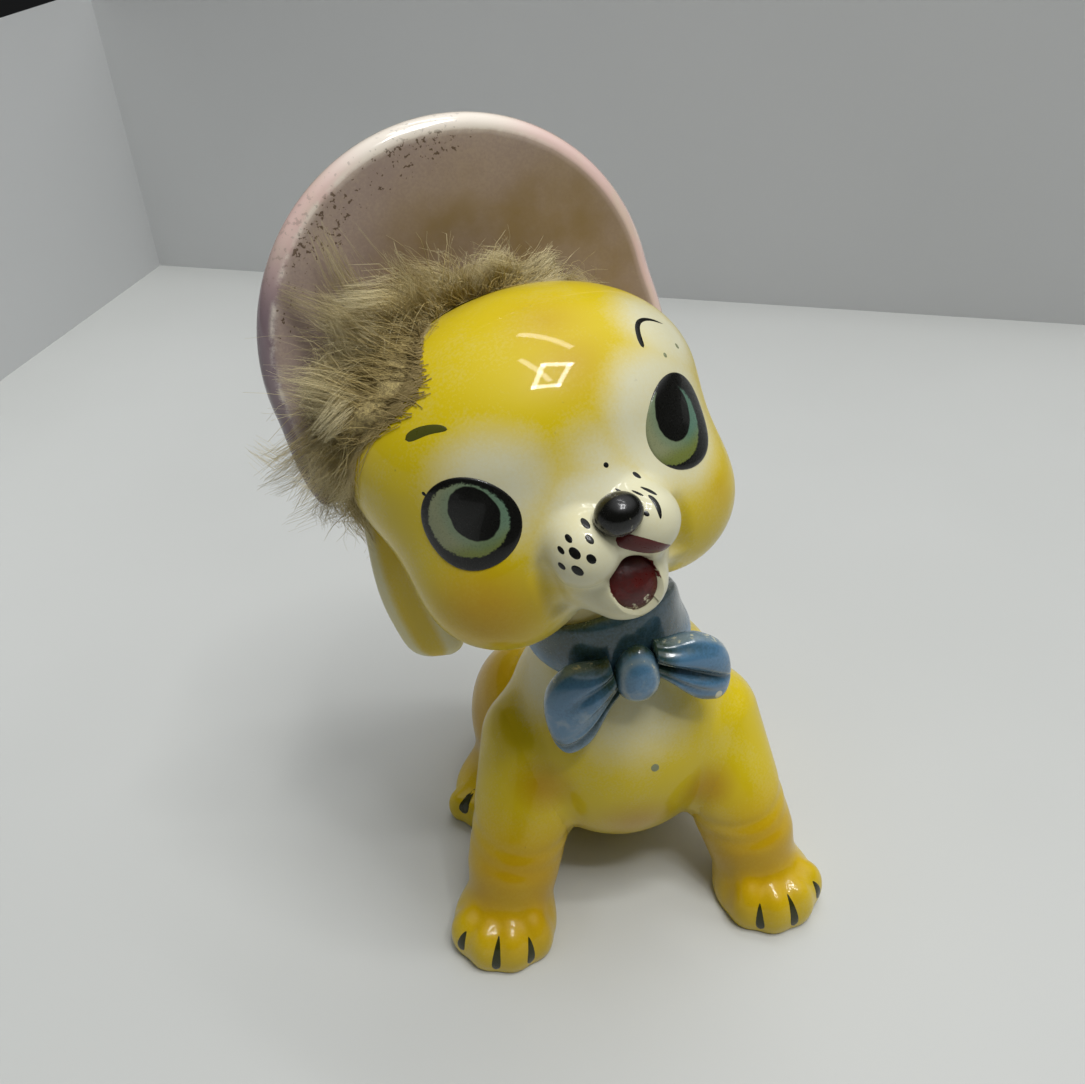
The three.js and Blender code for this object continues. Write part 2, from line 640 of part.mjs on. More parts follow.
// Bow: a knot on the ribbon and two loops that flare out of it, pleated towards the knot
const knotAt = moved(ribbonPoint(KNOT.around, 0, RIBBON.thickness + KNOT.proud), [0, 0, -1], KNOT.drop);

function knotSkin(grow) {
  return ballSkin({ at: knotAt, radii: KNOT.radii.map((radius) => radius + grow) });
}

function loopSkin(loop) {
  const forward = new THREE.Vector3(...loop.to);
  const across = new THREE.Vector3(...loop.across).normalize();
  const over = new THREE.Vector3().crossVectors(forward, across).normalize();
  const LOOP_RINGS = 14;
  const PLEATS = 5;
  const PLEAT_DEPTH = 0.12;
  const END_SHARPNESS = 9;
  const FULL_AT = 0.6;
  const KNOT_END = 0.6;
  const path = (t) => ({
    middle: knotAt.map((value, i) => value + loop.from[i] + loop.to[i] * t),
    across: across.toArray(),
    over: over.toArray(),
  });
  const section = (t, angle) => {
    const end = Math.sqrt(1 - t ** END_SHARPNESS);
    const opened = THREE.MathUtils.lerp(LOOP.pinch, 1, THREE.MathUtils.smoothstep(t, 0, FULL_AT));
    const spread = loop.spread * opened;
    const depth = LOOP.depth * THREE.MathUtils.lerp(KNOT_END, 1, Math.sin(Math.PI * t));
    const pleat = 1 + PLEAT_DEPTH * Math.cos(2 * PLEATS * angle) * Math.sin(Math.PI * t);
    return [spread * end * Math.cos(angle), depth * end * pleat * Math.sin(angle)];
  };
  return solidOf(sweptSkin(path, section, { rings: LOOP_RINGS, sides: 18 }));
}

const ribbonSeat = ribbonSkin(CLEARANCE);
const neckRibbon = mainBody(cut(ribbonSkin(0), bodySeat, headSeatInBody));
const bowKnot = mainBody(cut(knotSkin(0), ribbonSeat, bodySeat, headSeatInBody));

function bowLoop(loop, side) {
  const beside = [knotSkin(CLEARANCE), frontLegSkin(side, CLEARANCE)];
  return mainBody(cut(loopSkin(loop), ...beside, ribbonSeat, bodySeat, headSeatInBody));
}

// Finishes
const YELLOW_GLAZE = { color: 0xe3b52a, roughness: 0.16 };
const CREAM_GLAZE = { color: 0xeee4c8, roughness: 0.15 };
const PINK_GLAZE = { color: 0xc4a5a2, roughness: 0.35 };
const BLUE_GLAZE = { color: 0x4f6f96, roughness: 0.22 };
const BLACK_GLAZE = { color: 0x14110f, roughness: 0.1 };
const RED_GLAZE = { color: 0x5a1a1c, roughness: 0.25 };
const EYE_GLAZE = { color: 0x5f8478, roughness: 0.1 };
const HIDE = { color: 0x9a7a55, roughness: 0.8 };
const FUR_HAIR = { color: 0xb59a70, roughness: 0.9 };

function piece(name, solid, finish) {
  const glaze = new THREE.MeshStandardMaterial({ ...finish, metalness: 0 });
  const mesh = new THREE.Mesh(geometryOf(solid), glaze);
  mesh.name = name;
  return mesh;
}

const SIDES = { right: -1, left: 1 };
const dog = new THREE.Group();
dog.add(piece('torso', torso, CREAM_GLAZE));
dog.add(piece('tail', tail, YELLOW_GLAZE));
headGroup.add(piece('head', head, YELLOW_GLAZE));
for (const [name, side] of Object.entries(SIDES)) {
  dog.add(piece(`front_leg_${name}`, frontLeg(side), YELLOW_GLAZE));
  dog.add(piece(`hind_leg_${name}`, hindLeg(side), YELLOW_GLAZE));
  headGroup.add(piece(`ear_${name}`, earPiece(side), YELLOW_GLAZE));
  headGroup.add(piece(`eye_${name}`, eyeSkin(side), EYE_GLAZE));
}
headGroup.add(piece('nose', cut(ballSkin(NOSE), headSeat), BLACK_GLAZE));
headGroup.add(piece('tongue', cut(ballSkin(TONGUE), headSeat), RED_GLAZE));
headGroup.add(piece('bonnet_brim', bonnetBrim, PINK_GLAZE));
headGroup.add(piece('bonnet_crown', crownSkin(), PINK_GLAZE));
headGroup.add(piece('fur_hide', furHide, HIDE));
headGroup.add(piece('fur_pile', furPile, FUR_HAIR));
dog.add(piece('neck_ribbon', neckRibbon, BLUE_GLAZE));
dog.add(piece('bow_knot', bowKnot, BLUE_GLAZE));
dog.add(piece('bow_loop_right', bowLoop(LOOP_RIGHT, SIDES.right), BLUE_GLAZE));
dog.add(piece('bow_loop_left', bowLoop(LOOP_LEFT, SIDES.left), BLUE_GLAZE));
dog.add(headGroup);

export default dog;
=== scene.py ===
import bmesh
import bpy
import numpy as np
from bpy.props import FloatProperty, FloatVectorProperty, IntProperty, PointerProperty
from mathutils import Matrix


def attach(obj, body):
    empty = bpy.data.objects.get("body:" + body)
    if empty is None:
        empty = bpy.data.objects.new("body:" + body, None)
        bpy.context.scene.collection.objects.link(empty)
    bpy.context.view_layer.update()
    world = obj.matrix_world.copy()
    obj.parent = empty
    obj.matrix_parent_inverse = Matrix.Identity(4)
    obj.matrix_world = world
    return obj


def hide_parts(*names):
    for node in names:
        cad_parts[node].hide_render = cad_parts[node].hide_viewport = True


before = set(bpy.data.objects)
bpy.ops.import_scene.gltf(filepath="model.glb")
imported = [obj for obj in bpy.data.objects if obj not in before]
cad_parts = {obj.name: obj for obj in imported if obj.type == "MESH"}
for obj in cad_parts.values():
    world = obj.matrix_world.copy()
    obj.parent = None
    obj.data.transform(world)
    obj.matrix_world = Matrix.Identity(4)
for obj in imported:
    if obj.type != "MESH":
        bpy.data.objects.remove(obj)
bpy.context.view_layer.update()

bl_info = {
    "name": "Pottery Puppy",
    "version": (1, 0, 0),
    "blender": (4, 5, 0),
    "location": "View3D > Sidebar > Puppy",
    "description": "Dresses the frame of a glazed pottery puppy in a fur-trimmed bonnet",
    "category": "Object",
}

# Forms of the puppy in millimetres, in the frame's axes: the dog faces -Y, its left is +X, up is +Z
MM = 0.001
SIDES = {"right": -1, "left": 1}
CHEST = ((0, -16, 30), (18.5, 16.5, 22.5))
RUMP = ((0, 0, 15), (18, 17, 17.5))
NECK = ((-3, -17.5, 56), (10, 9.5, 14))
BODY_MIDDLE = (0, -10, 28)
BODY_BLEND = 8
SHOULDER, SHOULDER_RADIUS = (14, -18.5, 30), 9
WRIST, WRIST_RADIUS = (19.8, -28, 12), 7.6
PAW = ((22.3, -32, 2), (8.6, 9, 7))
PAW_TURN = 14
PAW_TOE = {"radius": 3.2, "height": 3.2, "spread": 36, "reach": 6.4}
HAUNCH = ((14, 4, 13), (10, 14, 14))
HIND_FOOT = ((22.5, -2.5, 1.8), (6, 9, 5.2))
HIND_FOOT_TURN = 12
HIND_TOE = {"radius": 2.3, "height": 2.5, "spread": 26, "reach": 6.8}
TOE_STEPS = (-1.5, -0.5, 0.5, 1.5)
LEG_BLEND = 5
TOE_BLEND = 1.1
LEG_FILLET = 2.4
FILLET_SINK = 0.04
LEG_CREASES = ((15.5, 0.2), (12.6, 0.12))
CREASE_RISE = 0.18
TAIL_ROOT, TAIL_BEND, TAIL_TIP = (0, 15, 11), (0, 25, 16), (0, 20, 30)
TAIL_RADII = (4.6, 1.8)

# Forms of the head in its own upright frame, which is then tilted, pitched, turned and raised
HEAD_AT = (-10.7, -20, 82)
HEAD_YAW, HEAD_PITCH, HEAD_TILT = 12, -24, -12.7
HEAD_MIDDLE = (0, -2, -2)
SKULL = ((0, 0.6, 6.6), (24.4, 20.2, 17.6))
CHEEK = ((11, -4.5, -8), (11.6, 11.4, 11))
MUZZLE = ((0, -14.5, -6), (9, 7, 6.5))
PAD = ((4.1, -19.8, -6.2), (4.6, 4.6, 4.5))
JAW = ((0.3, -15.6, -13.6), (5.4, 6.2, 4.6))
MOUTH = ((0.2, -20.6, -12.5), (3.0, 4.4, 3.3))
FACE_BLEND = 7
JAW_BLEND = 3
PAD_BLEND = 1.6
MOUTH_EDGE = 0.8
SMILE = {"from": (9.5, -18.8, -7.4), "to": (8.6, -15.2, -13.0), "width": 1.2, "depth": 1.6}
EYE = {"azimuth": 46.5, "lift": 9.5, "wide": 17.5, "tall": 16.2}
NOSE = ((0.5, -23.6, -3.1), (3.0, 2.8, 2.6))
TONGUE = ((0.2, -18.3, -12.9), (4.0, 2.2, 3.8))
EAR = {"length": 22.6, "width": 6.4, "tip_width": 5.2, "thickness": 2.1, "groove": 1.1, "turn": 38}
EAR_HANG = {"top": 5, "out": 21.2, "back": 4, "flare": 1.4, "swing": 2, "splay": 1.6}
BRIM_AT = (0, 9, 19.4)
BRIM = {"radius": 28.6, "thickness": 4, "dish": 3, "lean": 16, "reach": 124, "flare": 3.4, "root": 3}
CROWN = ((0, 6, 7), (24.6, 20, 20))
CROWN_HEM = -11
CROWN_INSIDE = (0, 20, 0)
FUR_REACH = 116
FUR_SEARCH = 34.0

# Forms of the ribbon and bow; the loops run from the knot
RIBBON_AT = (-2.2, -17.5, 54.3)
RIBBON = {"below": 3.7, "above": 2.5, "thickness": 1.8, "pitch": 4, "tilt": 2}
THROAT = {"rise": 6, "around": -68}
KNOT = {"around": -80, "radii": (3.4, 3.2, 4.7), "proud": 1.7, "drop": 0.3}
LOOP = {"depth": 3.2, "pinch": 0.5}
LOOPS = {
    "right": {
        "from": (-3.4, 0.2, -0.6), "to": (-9.9, -0.8, -8.2), "across": (0.22, 0, -1), "spread": 7.4,
        "fold": 0.55},
    "left": {
        "from": (2.6, 0.2, 2.0), "to": (11.6, 1.0, -5.4), "across": (0, 0, 1), "spread": 5.9, "fold": -0.12,
        "chip": (0.80, -0.62)},
}

TINY = 1e-9
WELD = 1e-7


def colour(name, description, default):
    """A colour setting."""
    return FloatVectorProperty(
        name=name, description=description, subtype="COLOR", min=0, max=1, default=default)


class PaintSettings(bpy.types.PropertyGroup):
    """Colours of the glazes, the paint and the fur."""

    cream: colour("Cream", "Bare glaze of the face mask and chest", (0.70, 0.67, 0.46))
    yellow: colour("Yellow", "Airbrushed yellow of the coat", (0.67, 0.51, 0.009))
    # Orange: the airbrush's deeper coat, also laid on extra deep as painted shade on the shaded right cheek,
    # the haunches and the leg fronts
    orange: colour("Orange", "Second, deeper coat of the airbrush", (0.52, 0.31, 0.003))
    black: colour("Black", "Brushed outlines, freckles and nose", (0.006, 0.006, 0.005))
    olive: colour("Olive", "Thin brushed brow and toe lines", (0.075, 0.078, 0.012))
    red: colour("Red", "Paint inside the mouth", (0.105, 0.012, 0.010))
    iris_low: colour("Iris below", "Yellow green at the foot of the iris", (0.16, 0.19, 0.045))
    iris_teal: colour("Iris teal", "Teal of the iris beside the pupil", (0.10, 0.20, 0.14))
    iris_pale: colour("Iris pale", "Pale olive side of the iris", (0.24, 0.26, 0.14))
    pink: colour("Pink", "Matt pink inside the bonnet brim", (0.47, 0.365, 0.30))
    pearl: colour("Pearl", "Pearly pink of the rim and the outside of the bonnet", (0.80, 0.58, 0.52))
    # Bisque: the rubbed rim, and a painted highlight along the top of the rim
    bisque: colour("Bisque", "Worn rim of the bonnet brim", (0.88, 0.80, 0.69))
    # Mauve: bare body where the pearl wore thin; low on the left of the rim it is also painted shade
    mauve: colour("Mauve", "Bare mauve where the pearl has worn thin", (0.26, 0.19, 0.21))
    blue: colour("Blue", "Slate blue of the ribbon and bow", (0.085, 0.200, 0.330))
    # Dark green where the glaze pools, and painted shade in the folds, round the knot and over the band
    # under the jaw
    pooling_and_shade: colour("Recess", "Dark green where the blue glaze pools", (0.028, 0.056, 0.042))
    dirt: colour("Dirt", "Brown dirt specks", (0.085, 0.045, 0.016))
    stain: colour("Stain", "Tan glue stain on the bonnet brim", (0.30, 0.205, 0.085))
    hair_root: colour("Hair root", "Fur near the hide", (0.28, 0.21, 0.085))
    hair_middle: colour("Hair middle", "Fur half way along the hair", (0.62, 0.49, 0.20))
    hair_tip: colour("Hair tip", "Fur at the tip of the hair", (0.88, 0.78, 0.48))


class FurSettings(bpy.types.PropertyGroup):
    """Sizes of the fur trim."""

    count: IntProperty(
        name="Hairs", description="Number of hairs in a full bunch", min=100, max=5000, default=4400)
    length: FloatProperty(
        name="Hair length", description="Longest hair", unit="LENGTH", min=0.002, max=0.03, default=0.019)
    thickness: FloatProperty(
        name="Hair thickness", description="Radius of a hair at its root", unit="LENGTH",
        min=0.00002, max=0.0005, default=0.000062)
    seed: IntProperty(name="Seed", description="Seed of the fur's random lie", min=0, default=7)


class StageSettings(bpy.types.PropertyGroup):
    """Floor, walls and lamps."""

    floor: colour("Floor", "Colour of the floor", (0.53, 0.54, 0.52))
    backdrop: colour("Backdrop", "Colour of the walls behind", (0.58, 0.59, 0.59))
    bars: FloatProperty(
        name="Lamp frame", description="Power of each bar of the lamp frame", unit="POWER",
        min=0, default=1.15)
    tube: FloatProperty(
        name="Tubes", description="Power of each tube lamp", unit="POWER", min=0, default=0.85)
    sky: FloatProperty(
        name="Sky", description="Strength of the soft light from overhead", min=0, default=1.15)
    haze: FloatProperty(
        name="Haze", description="Strength of the soft light from below", min=0, default=0.01)


def smooth(low, high, value):
    """Smoothstep from 0 at low to 1 at high."""
    t = np.clip((value - low) / (high - low), 0.0, 1.0)
    return t * t * (3 - 2 * t)


def bell(value, at, width):
    """A soft bump of height 1: exp(-q q), with q = (value - at) / width."""
    return np.exp(-((value - at) / width) ** 2)


def signed_power(value, power):
    """A power of a value's size that keeps its sign."""
    return np.sign(value) * np.abs(value) ** power


def unit(vectors):
    """Vectors scaled to a length of 1."""
    vectors = np.asarray(vectors, float)
    return vectors / np.maximum(np.linalg.norm(vectors, axis=-1, keepdims=True), TINY)


def full_turn(count):
    """Angles evenly spaced round a full turn."""
    return np.linspace(0, 2 * np.pi, count, endpoint=False)


# Fields: lengths that are negative inside a form and positive outside it
def ellipsoid(points, at, radii):
    """Length from an ellipsoid: k0 (k0 - 1) / k1, with k0 = |q / r| and k1 = |q / r r| for q = p - at."""
    scaled = (points - np.asarray(at, float)) / np.asarray(radii, float)
    near = np.linalg.norm(scaled, axis=-1)
    slope = np.linalg.norm(scaled / np.asarray(radii, float), axis=-1)
    return near * (near - 1.0) / np.maximum(slope, TINY)


def limb(points, start, start_radius, end, end_radius):
    """Length from a rod whose radius runs evenly from one end to the other."""
    span = np.subtract(end, start).astype(float)
    away = points - np.asarray(start, float)
    t = np.clip(away @ span / (span @ span), 0.0, 1.0)
    radius = start_radius + (end_radius - start_radius) * t
    return np.linalg.norm(away - t[..., None] * span, axis=-1) - radius


def join(a, b, blend):
    """Union of two fields that run into each other over the blend: min(a, b) - h h blend / 4."""
    h = np.maximum(blend - np.abs(a - b), 0.0) / blend
    return np.minimum(a, b) - h * h * blend / 4


def carve(form, hollow, edge):
    """The form without the hollow, its new edge rounded."""
    return -join(-form, hollow, edge)


def mirrored(ball, side):
    """A ball of the dog's left, or its mirror image on the right."""
    (x, y, z), radii = ball
    return (x * side, y, z), radii


def mirror_points(points, side):
    """Points seen from the dog's left side, or mirrored from its right."""
    return points * np.array((side, 1, 1))


def head_field(points):
    """Skull, muzzle and cheeks run together with jaw and lip pads; creases and mouth are sunk in."""
    form = join(ellipsoid(points, *SKULL), ellipsoid(points, *MUZZLE), FACE_BLEND)
    for side in SIDES.values():
        form = join(form, ellipsoid(points, *mirrored(CHEEK, side)), FACE_BLEND)
    form = join(form, ellipsoid(points, *JAW), JAW_BLEND)
    for side in SIDES.values():
        form = join(form, ellipsoid(points, *mirrored(PAD, side)), PAD_BLEND)
        away = limb(mirror_points(points, side), SMILE["from"], 0, SMILE["to"], 0)
        form = form + SMILE["depth"] * bell(away, 0, SMILE["width"])
    return carve(form, ellipsoid(points, *MOUTH), MOUTH_EDGE)


def body_field(points):
    """Chest, rump and neck run together."""
    form = join(ellipsoid(points, *CHEST), ellipsoid(points, *RUMP), BODY_BLEND)
    return join(form, ellipsoid(points, *NECK), BODY_BLEND)


def foot_field(points, foot, turn, toe, side):
    """A sole ball with four toe balls fanned over its front, turned out about the upright."""
    (x, y, z), radii = foot
    angle = np.radians(turn)
    dx = points[..., 0] * side - x
    dy = points[..., 1] - y
    across = dx * np.cos(angle) + dy * np.sin(angle)
    along = dy * np.cos(angle) - dx * np.sin(angle)
    local = np.stack([across, along, points[..., 2]], -1)
    form = ellipsoid(local, (0, 0, z), radii)
    toe_radii = (toe["radius"], toe["radius"], toe["height"] + toe["radius"] / 2)
    for step in TOE_STEPS:
        fan = np.radians(step * toe["spread"])
        at = (np.sin(fan) * toe["reach"], -np.cos(fan) * toe["reach"], toe["height"])
        form = join(form, ellipsoid(local, at, toe_radii), TOE_BLEND)
    return form


def front_leg_field(points, side):
    """A tapering limb from shoulder to wrist that runs into the paw, with shallow creases at the bend."""
    rod = limb(mirror_points(points, side), SHOULDER, SHOULDER_RADIUS, WRIST, WRIST_RADIUS)
    slope = points[..., 2] - CREASE_RISE * points[..., 0] * side
    for level, depth in LEG_CREASES:
        rod = rod + depth * bell(slope, level, 1)
    return join(rod, foot_field(points, PAW, PAW_TURN, PAW_TOE, side), LEG_BLEND)


def hind_leg_field(points, side):
    """A haunch ball that runs into the hind foot."""
    haunch = ellipsoid(mirror_points(points, side), *HAUNCH)
    return join(haunch, foot_field(points, HIND_FOOT, HIND_FOOT_TURN, HIND_TOE, side), LEG_BLEND)


def torso_field(points):
    """The body with a fillet towards each leg, cut off where the fillet has run out on the leg."""
    body = body_field(points)
    form = body
    for side in SIDES.values():
        form = join(form, front_leg_field(points, side) + FILLET_SINK, LEG_FILLET)
        form = join(form, hind_leg_field(points, side) + FILLET_SINK, LEG_FILLET)
    return np.maximum(form, body - LEG_FILLET)


# Grids: points cut from a field by rays, or sections carried along a path
def reach(field, start, directions, limit=45.0):
    """Distance along each ray to where it first leaves the field's form: marched, then halved."""
    march, halvings = 45, 13
    shape = directions.shape[:-1]
    near, far = np.zeros(shape), np.full(shape, limit)
    inside = np.ones(shape, bool)
    for distance in np.linspace(0, limit, march + 1)[1:]:
        out = field(start + directions * distance) > 0
        far[inside & out] = distance
        near[inside & ~out] = distance
        inside &= ~out
    for _ in range(halvings):
        middle = (near + far) / 2
        out = field(start + directions * middle[..., None]) > 0
        far = np.where(out, middle, far)
        near = np.where(out, near, middle)
    return near


def turn_about(axis, degrees):
    """Matrix of a right-handed turn about one of the three axes."""
    a = np.radians(degrees)
    i, j = [(1, 2), (2, 0), (0, 1)]["xyz".index(axis)]
    matrix = np.eye(3)
    matrix[i, i] = matrix[j, j] = np.cos(a)
    matrix[i, j], matrix[j, i] = -np.sin(a), np.sin(a)
    return matrix


HEAD_TURN = turn_about("z", HEAD_YAW) @ turn_about("x", HEAD_PITCH) @ turn_about("y", HEAD_TILT)
BRIM_TURN = turn_about("x", BRIM["lean"])
RIBBON_TURN = turn_about("x", RIBBON["pitch"]) @ turn_about("y", RIBBON["tilt"])


def head_to_body(points):
    """Points of the upright head frame, where the tilted head holds them."""
    return points @ HEAD_TURN.T + np.asarray(HEAD_AT)


def brim_to_head(points):
    """Points of the brim's own frame, which leans back on the head."""
    return points @ BRIM_TURN.T + np.asarray(BRIM_AT)


def head_to_brim(points):
    """Points of the upright head frame, seen in the brim's own frame."""
    return (points - np.asarray(BRIM_AT)) @ BRIM_TURN


def toward(pole):
    """A frame whose third axis points to the pole."""
    too_near = 0.9
    up = unit(pole)
    aside = unit(np.cross((0.0, 1.0, 0.0) if abs(up[1]) < too_near else (1.0, 0.0, 0.0), up))
    return np.stack([aside, np.cross(up, aside), up], -1)


def polar_grid(field, middle, pole, rings, sides, crowding=1.0):
    """Points of a field seen from its middle, on polar rings that crowd towards the pole by a power."""
    polar = np.pi * np.linspace(0, 1, rings + 1) ** crowding
    polar, turn = np.meshgrid(polar, full_turn(sides), indexing="ij")
    local = np.stack([np.sin(polar) * np.cos(turn), np.sin(polar) * np.sin(turn), np.cos(polar)], -1)
    directions = local @ toward(pole).T
    return np.asarray(middle) + directions * reach(field, np.asarray(middle, float), directions)[..., None]


def standing_grid(field, low, high, rings, sides):
    """Level sections of a limb about an axis from low to high, then straight up to its crest.

    They crowd towards the sole, whose edge is bevelled.
    """
    crowding, bevel = 1.2, 0.35
    low, high = np.asarray(low, float), np.asarray(high, float)
    crest = reach(field, high, np.array([[0.0, 0.0, 1.0]]))[0]
    t = np.linspace(0, 1, rings) ** crowding
    axis = low + (high - low) * t[:, None]
    dome = high + np.array((0, 0, 1)) * crest * np.sin(np.linspace(0, np.pi / 2, rings // 3)[1:, None])
    axis = np.concatenate([low[None], axis, dome])
    turn = full_turn(sides)
    around = np.stack([np.cos(turn), np.sin(turn), np.zeros(sides)], -1)
    axis, around = np.broadcast_arrays(axis[:, None], around[None])
    distance = reach(field, axis, around)
    distance[0] = 0
    distance[1] -= bevel
    distance[-1] = 0
    return axis + around * distance[..., None]


def swept_grid(middle, across, over, u, v):
    """Sections carried along a path: middle + across u + over v, for u and v given at each section."""
    return middle[:, None] + across[:, None] * u[..., None] + over[:, None] * v[..., None]


def angles_to_directions(azimuth, lift):
    """Unit directions from degrees round from the front towards +X, and degrees up."""
    a, b = np.radians(azimuth), np.radians(lift)
    return np.stack([np.sin(a) * np.cos(b), -np.cos(a) * np.cos(b), np.sin(b)], -1)


def spot(points, at, inner, outer):
    """Soft round airbrush spot: 1 up to the inner distance, fading to 0 at the outer one."""
    return 1 - smooth(inner, outer, np.linalg.norm(points - np.asarray(at, float), axis=-1))


# Meshes
def grid_faces(rows, columns, ring=False, capped=False):
    """Quads of a grid whose columns close round; a ring also closes its rows, a capped grid its two ends."""
    last = rows if ring else rows - 1
    i, j = np.meshgrid(np.arange(last), np.arange(columns), indexing="ij")
    below, beside = (i + 1) % rows, (j + 1) % columns
    here, next_row = i * columns, below * columns
    quads = np.stack([here + j, next_row + j, next_row + beside, here + beside], -1)
    faces = quads.reshape(-1, 4).tolist()
    if capped:
        faces.append(list(range(columns)))
        faces.append(list(range((rows - 1) * columns, rows * columns))[::-1])
    return faces


def signed_volume(points, faces):
    """Six times the volume enclosed by quads, which is negative when they face inwards."""
    quads = np.array([face for face in faces if len(face) == 4])
    a, b, c, d = (points[quads[:, k]] for k in range(4))
    return np.sum(np.cross(a, b) * c) + np.sum(np.cross(a, c) * d)


def add_piece(name, points, faces, material, slot, nodes=(), masks=None, uv=None, weld=True):
    """Puts points in millimetres into a mesh piece that rides on the root and stands for the given nodes."""
    points = np.asarray(points, float).reshape(-1, 3)
    if signed_volume(points, faces) < 0:
        faces = [face[::-1] for face in faces]
    mesh = bpy.data.meshes.new(name)
    mesh.from_pydata((points * MM).tolist(), [], faces)
    for mask, values in (masks or {}).items():
        layer = mesh.attributes.new(mask, "FLOAT", "POINT")
        layer.data.foreach_set("value", np.ascontiguousarray(values, np.float32).ravel())
    if uv is not None:
        corners = np.empty(len(mesh.loops), np.int32)
        mesh.loops.foreach_get("vertex_index", corners)
        mesh.uv_layers.new(name="UVMap").data.foreach_set("uv", uv.reshape(-1, 2)[corners].ravel())
    mesh.materials.append(material)
    if weld:
        merge_doubles(mesh)
    mesh.shade_smooth()
    piece = bpy.data.objects.new(name, mesh)
    bpy.context.scene.collection.objects.link(piece)
    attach(piece, "root")
    if nodes:
        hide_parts(*nodes)


def add_grid(name, grid, material, slot, masks=None, uv=None, **closing):
    """Adds a grid as the piece that stands for the node of its name."""
    faces = grid_faces(*grid.shape[:2], **closing)
    add_piece(f"puppy_{name}", grid, faces, material, slot, [name], masks, uv)


def merge_doubles(mesh):
    """Closes the poles and seams, where a grid repeats a point."""
    form = bmesh.new()
    form.from_mesh(mesh)
    bmesh.ops.remove_doubles(form, verts=form.verts, dist=WELD)
    form.to_mesh(mesh)
    form.free()


# Materials
class Nodes:
    """Adds nodes to a tree; a socket among their values is linked, anything else is set."""

    def __init__(self, tree):
        self.tree = tree

    def feed(self, socket, value):
        """Links a socket to another one, or sets it."""
        if isinstance(value, bpy.types.NodeSocket):
            self.tree.links.new(value, socket)
        else:
            socket.default_value = value

    def place(self, kind, values=None, **settings):
        """The outputs of a new node with its settings and values."""
        node = self.tree.nodes.new(kind)
        for name, value in settings.items():
            setattr(node, name, value)
        for name, value in (values or {}).items():
            self.feed(node.inputs[name], value)
        return node.outputs

    def calc(self, operation, first, second, clamp=False):
        """A math node's result."""
        values = {0: first, 1: second}
        return self.place("ShaderNodeMath", values, operation=operation, use_clamp=clamp)[0]

    def plus(self, first, second, clamp=False):
        """The sum of two values."""
        return self.calc("ADD", first, second, clamp)

    def times(self, first, second, clamp=False):
        """The product of two values."""
        return self.calc("MULTIPLY", first, second, clamp)

    def fade(self, value, low, high, start=0.0, end=1.0):
        """A value eased from start at low to end at high."""
        values = {"Value": value, "From Min": low, "From Max": high, "To Min": start, "To Max": end}
        return self.place("ShaderNodeMapRange", values, interpolation_type="SMOOTHSTEP")["Result"]

    def mask(self, name):
        """A mask that the mesh carries, or 0 where it carries none."""
        return self.place("ShaderNodeAttribute", attribute_name=name)["Fac"]

    def noise(self, scale, detail=4.0, roughness=0.55, vector=None):
        """Noise in the piece's own coordinates, with the scale in waves per metre, or on a given map."""
        if vector is None:
            vector = self.place("ShaderNodeTexCoord")["Object"]
        values = {"Vector": vector, "Scale": scale, "Detail": detail, "Roughness": roughness}
        return self.place("ShaderNodeTexNoise", values)["Fac"]

    def effect(self, name, **values):
        """Places a shared effect; its group is made the first time."""
        group = bpy.data.node_groups.get(name) or EFFECTS[name](name)
        return self.place("ShaderNodeGroup", values, node_tree=group)


class Mix(Nodes):
    """A material in the making, with the colour it has so far."""

    def __init__(self, name, color):
        self.material = bpy.data.materials.new(name)
        self.material.use_nodes = True
        super().__init__(self.material.node_tree)
        self.color = (*color, 1.0)

    def tint(self, factor, first, second):
        """The second colour over the first by a factor."""
        first_index, second_index, result = 6, 7, 2
        values = {0: factor, first_index: first, second_index: second}
        return self.place("ShaderNodeMix", values, data_type="RGBA")[result]

    def over(self, color, factor):
        """Lays a colour over what is there, by a factor."""
        self.color = self.tint(factor, self.color, (*color, 1.0))

    def finish(self, roughness, bump=None, specular=0.5, coat=0.0, coat_roughness=0.03):
        """Feeds the shader: colour, roughness, its own shine, the clear coat over it, and a bump.

        The bump is a height, its strength, and the distance in metres that it stands for.
        """
        shader = self.tree.nodes["Principled BSDF"].inputs
        self.feed(shader["Base Color"], self.color)
        self.feed(shader["Roughness"], roughness)
        self.feed(shader["Specular IOR Level"], specular)
        self.feed(shader["Coat Weight"], coat)
        self.feed(shader["Coat Roughness"], coat_roughness)
        if bump is not None:
            values = dict(zip(("Height", "Strength", "Distance"), bump))
            self.feed(shader["Normal"], self.place("ShaderNodeBump", values)["Normal"])
        return self.material


def effect_group(name, inputs, outputs):
    """A new node group with float inputs and outputs: its nodes, what it is given and its results."""
    tree = bpy.data.node_groups.new(name, "ShaderNodeTree")
    for socket, default in inputs.items():
        made = tree.interface.new_socket(socket, in_out="INPUT", socket_type="NodeSocketFloat")
        made.default_value = default
    for socket in outputs:
        tree.interface.new_socket(socket, in_out="OUTPUT", socket_type="NodeSocketFloat")
    return Nodes(tree), tree.nodes.new("NodeGroupInput").outputs, tree.nodes.new("NodeGroupOutput").inputs


def dirt_specks(name):
    """Small dark specks: noise that only shows where it rises past a limit, gathered by a broader noise."""
    patch_scale, spare_limit, steepness = 60.0, 0.10, 22.0
    nodes, given, result = effect_group(name, {"Scale": 900.0, "Limit": 0.66}, ("Mask",))
    grains = nodes.noise(given["Scale"], 2.0, 0.5)
    patches = nodes.noise(patch_scale, 3.0, 0.5)
    limit = nodes.plus(given["Limit"], nodes.fade(patches, 0.4, 0.65, spare_limit, 0.0))
    nodes.feed(result["Mask"], nodes.times(nodes.calc("SUBTRACT", grains, limit), steepness, True))
    return nodes.tree


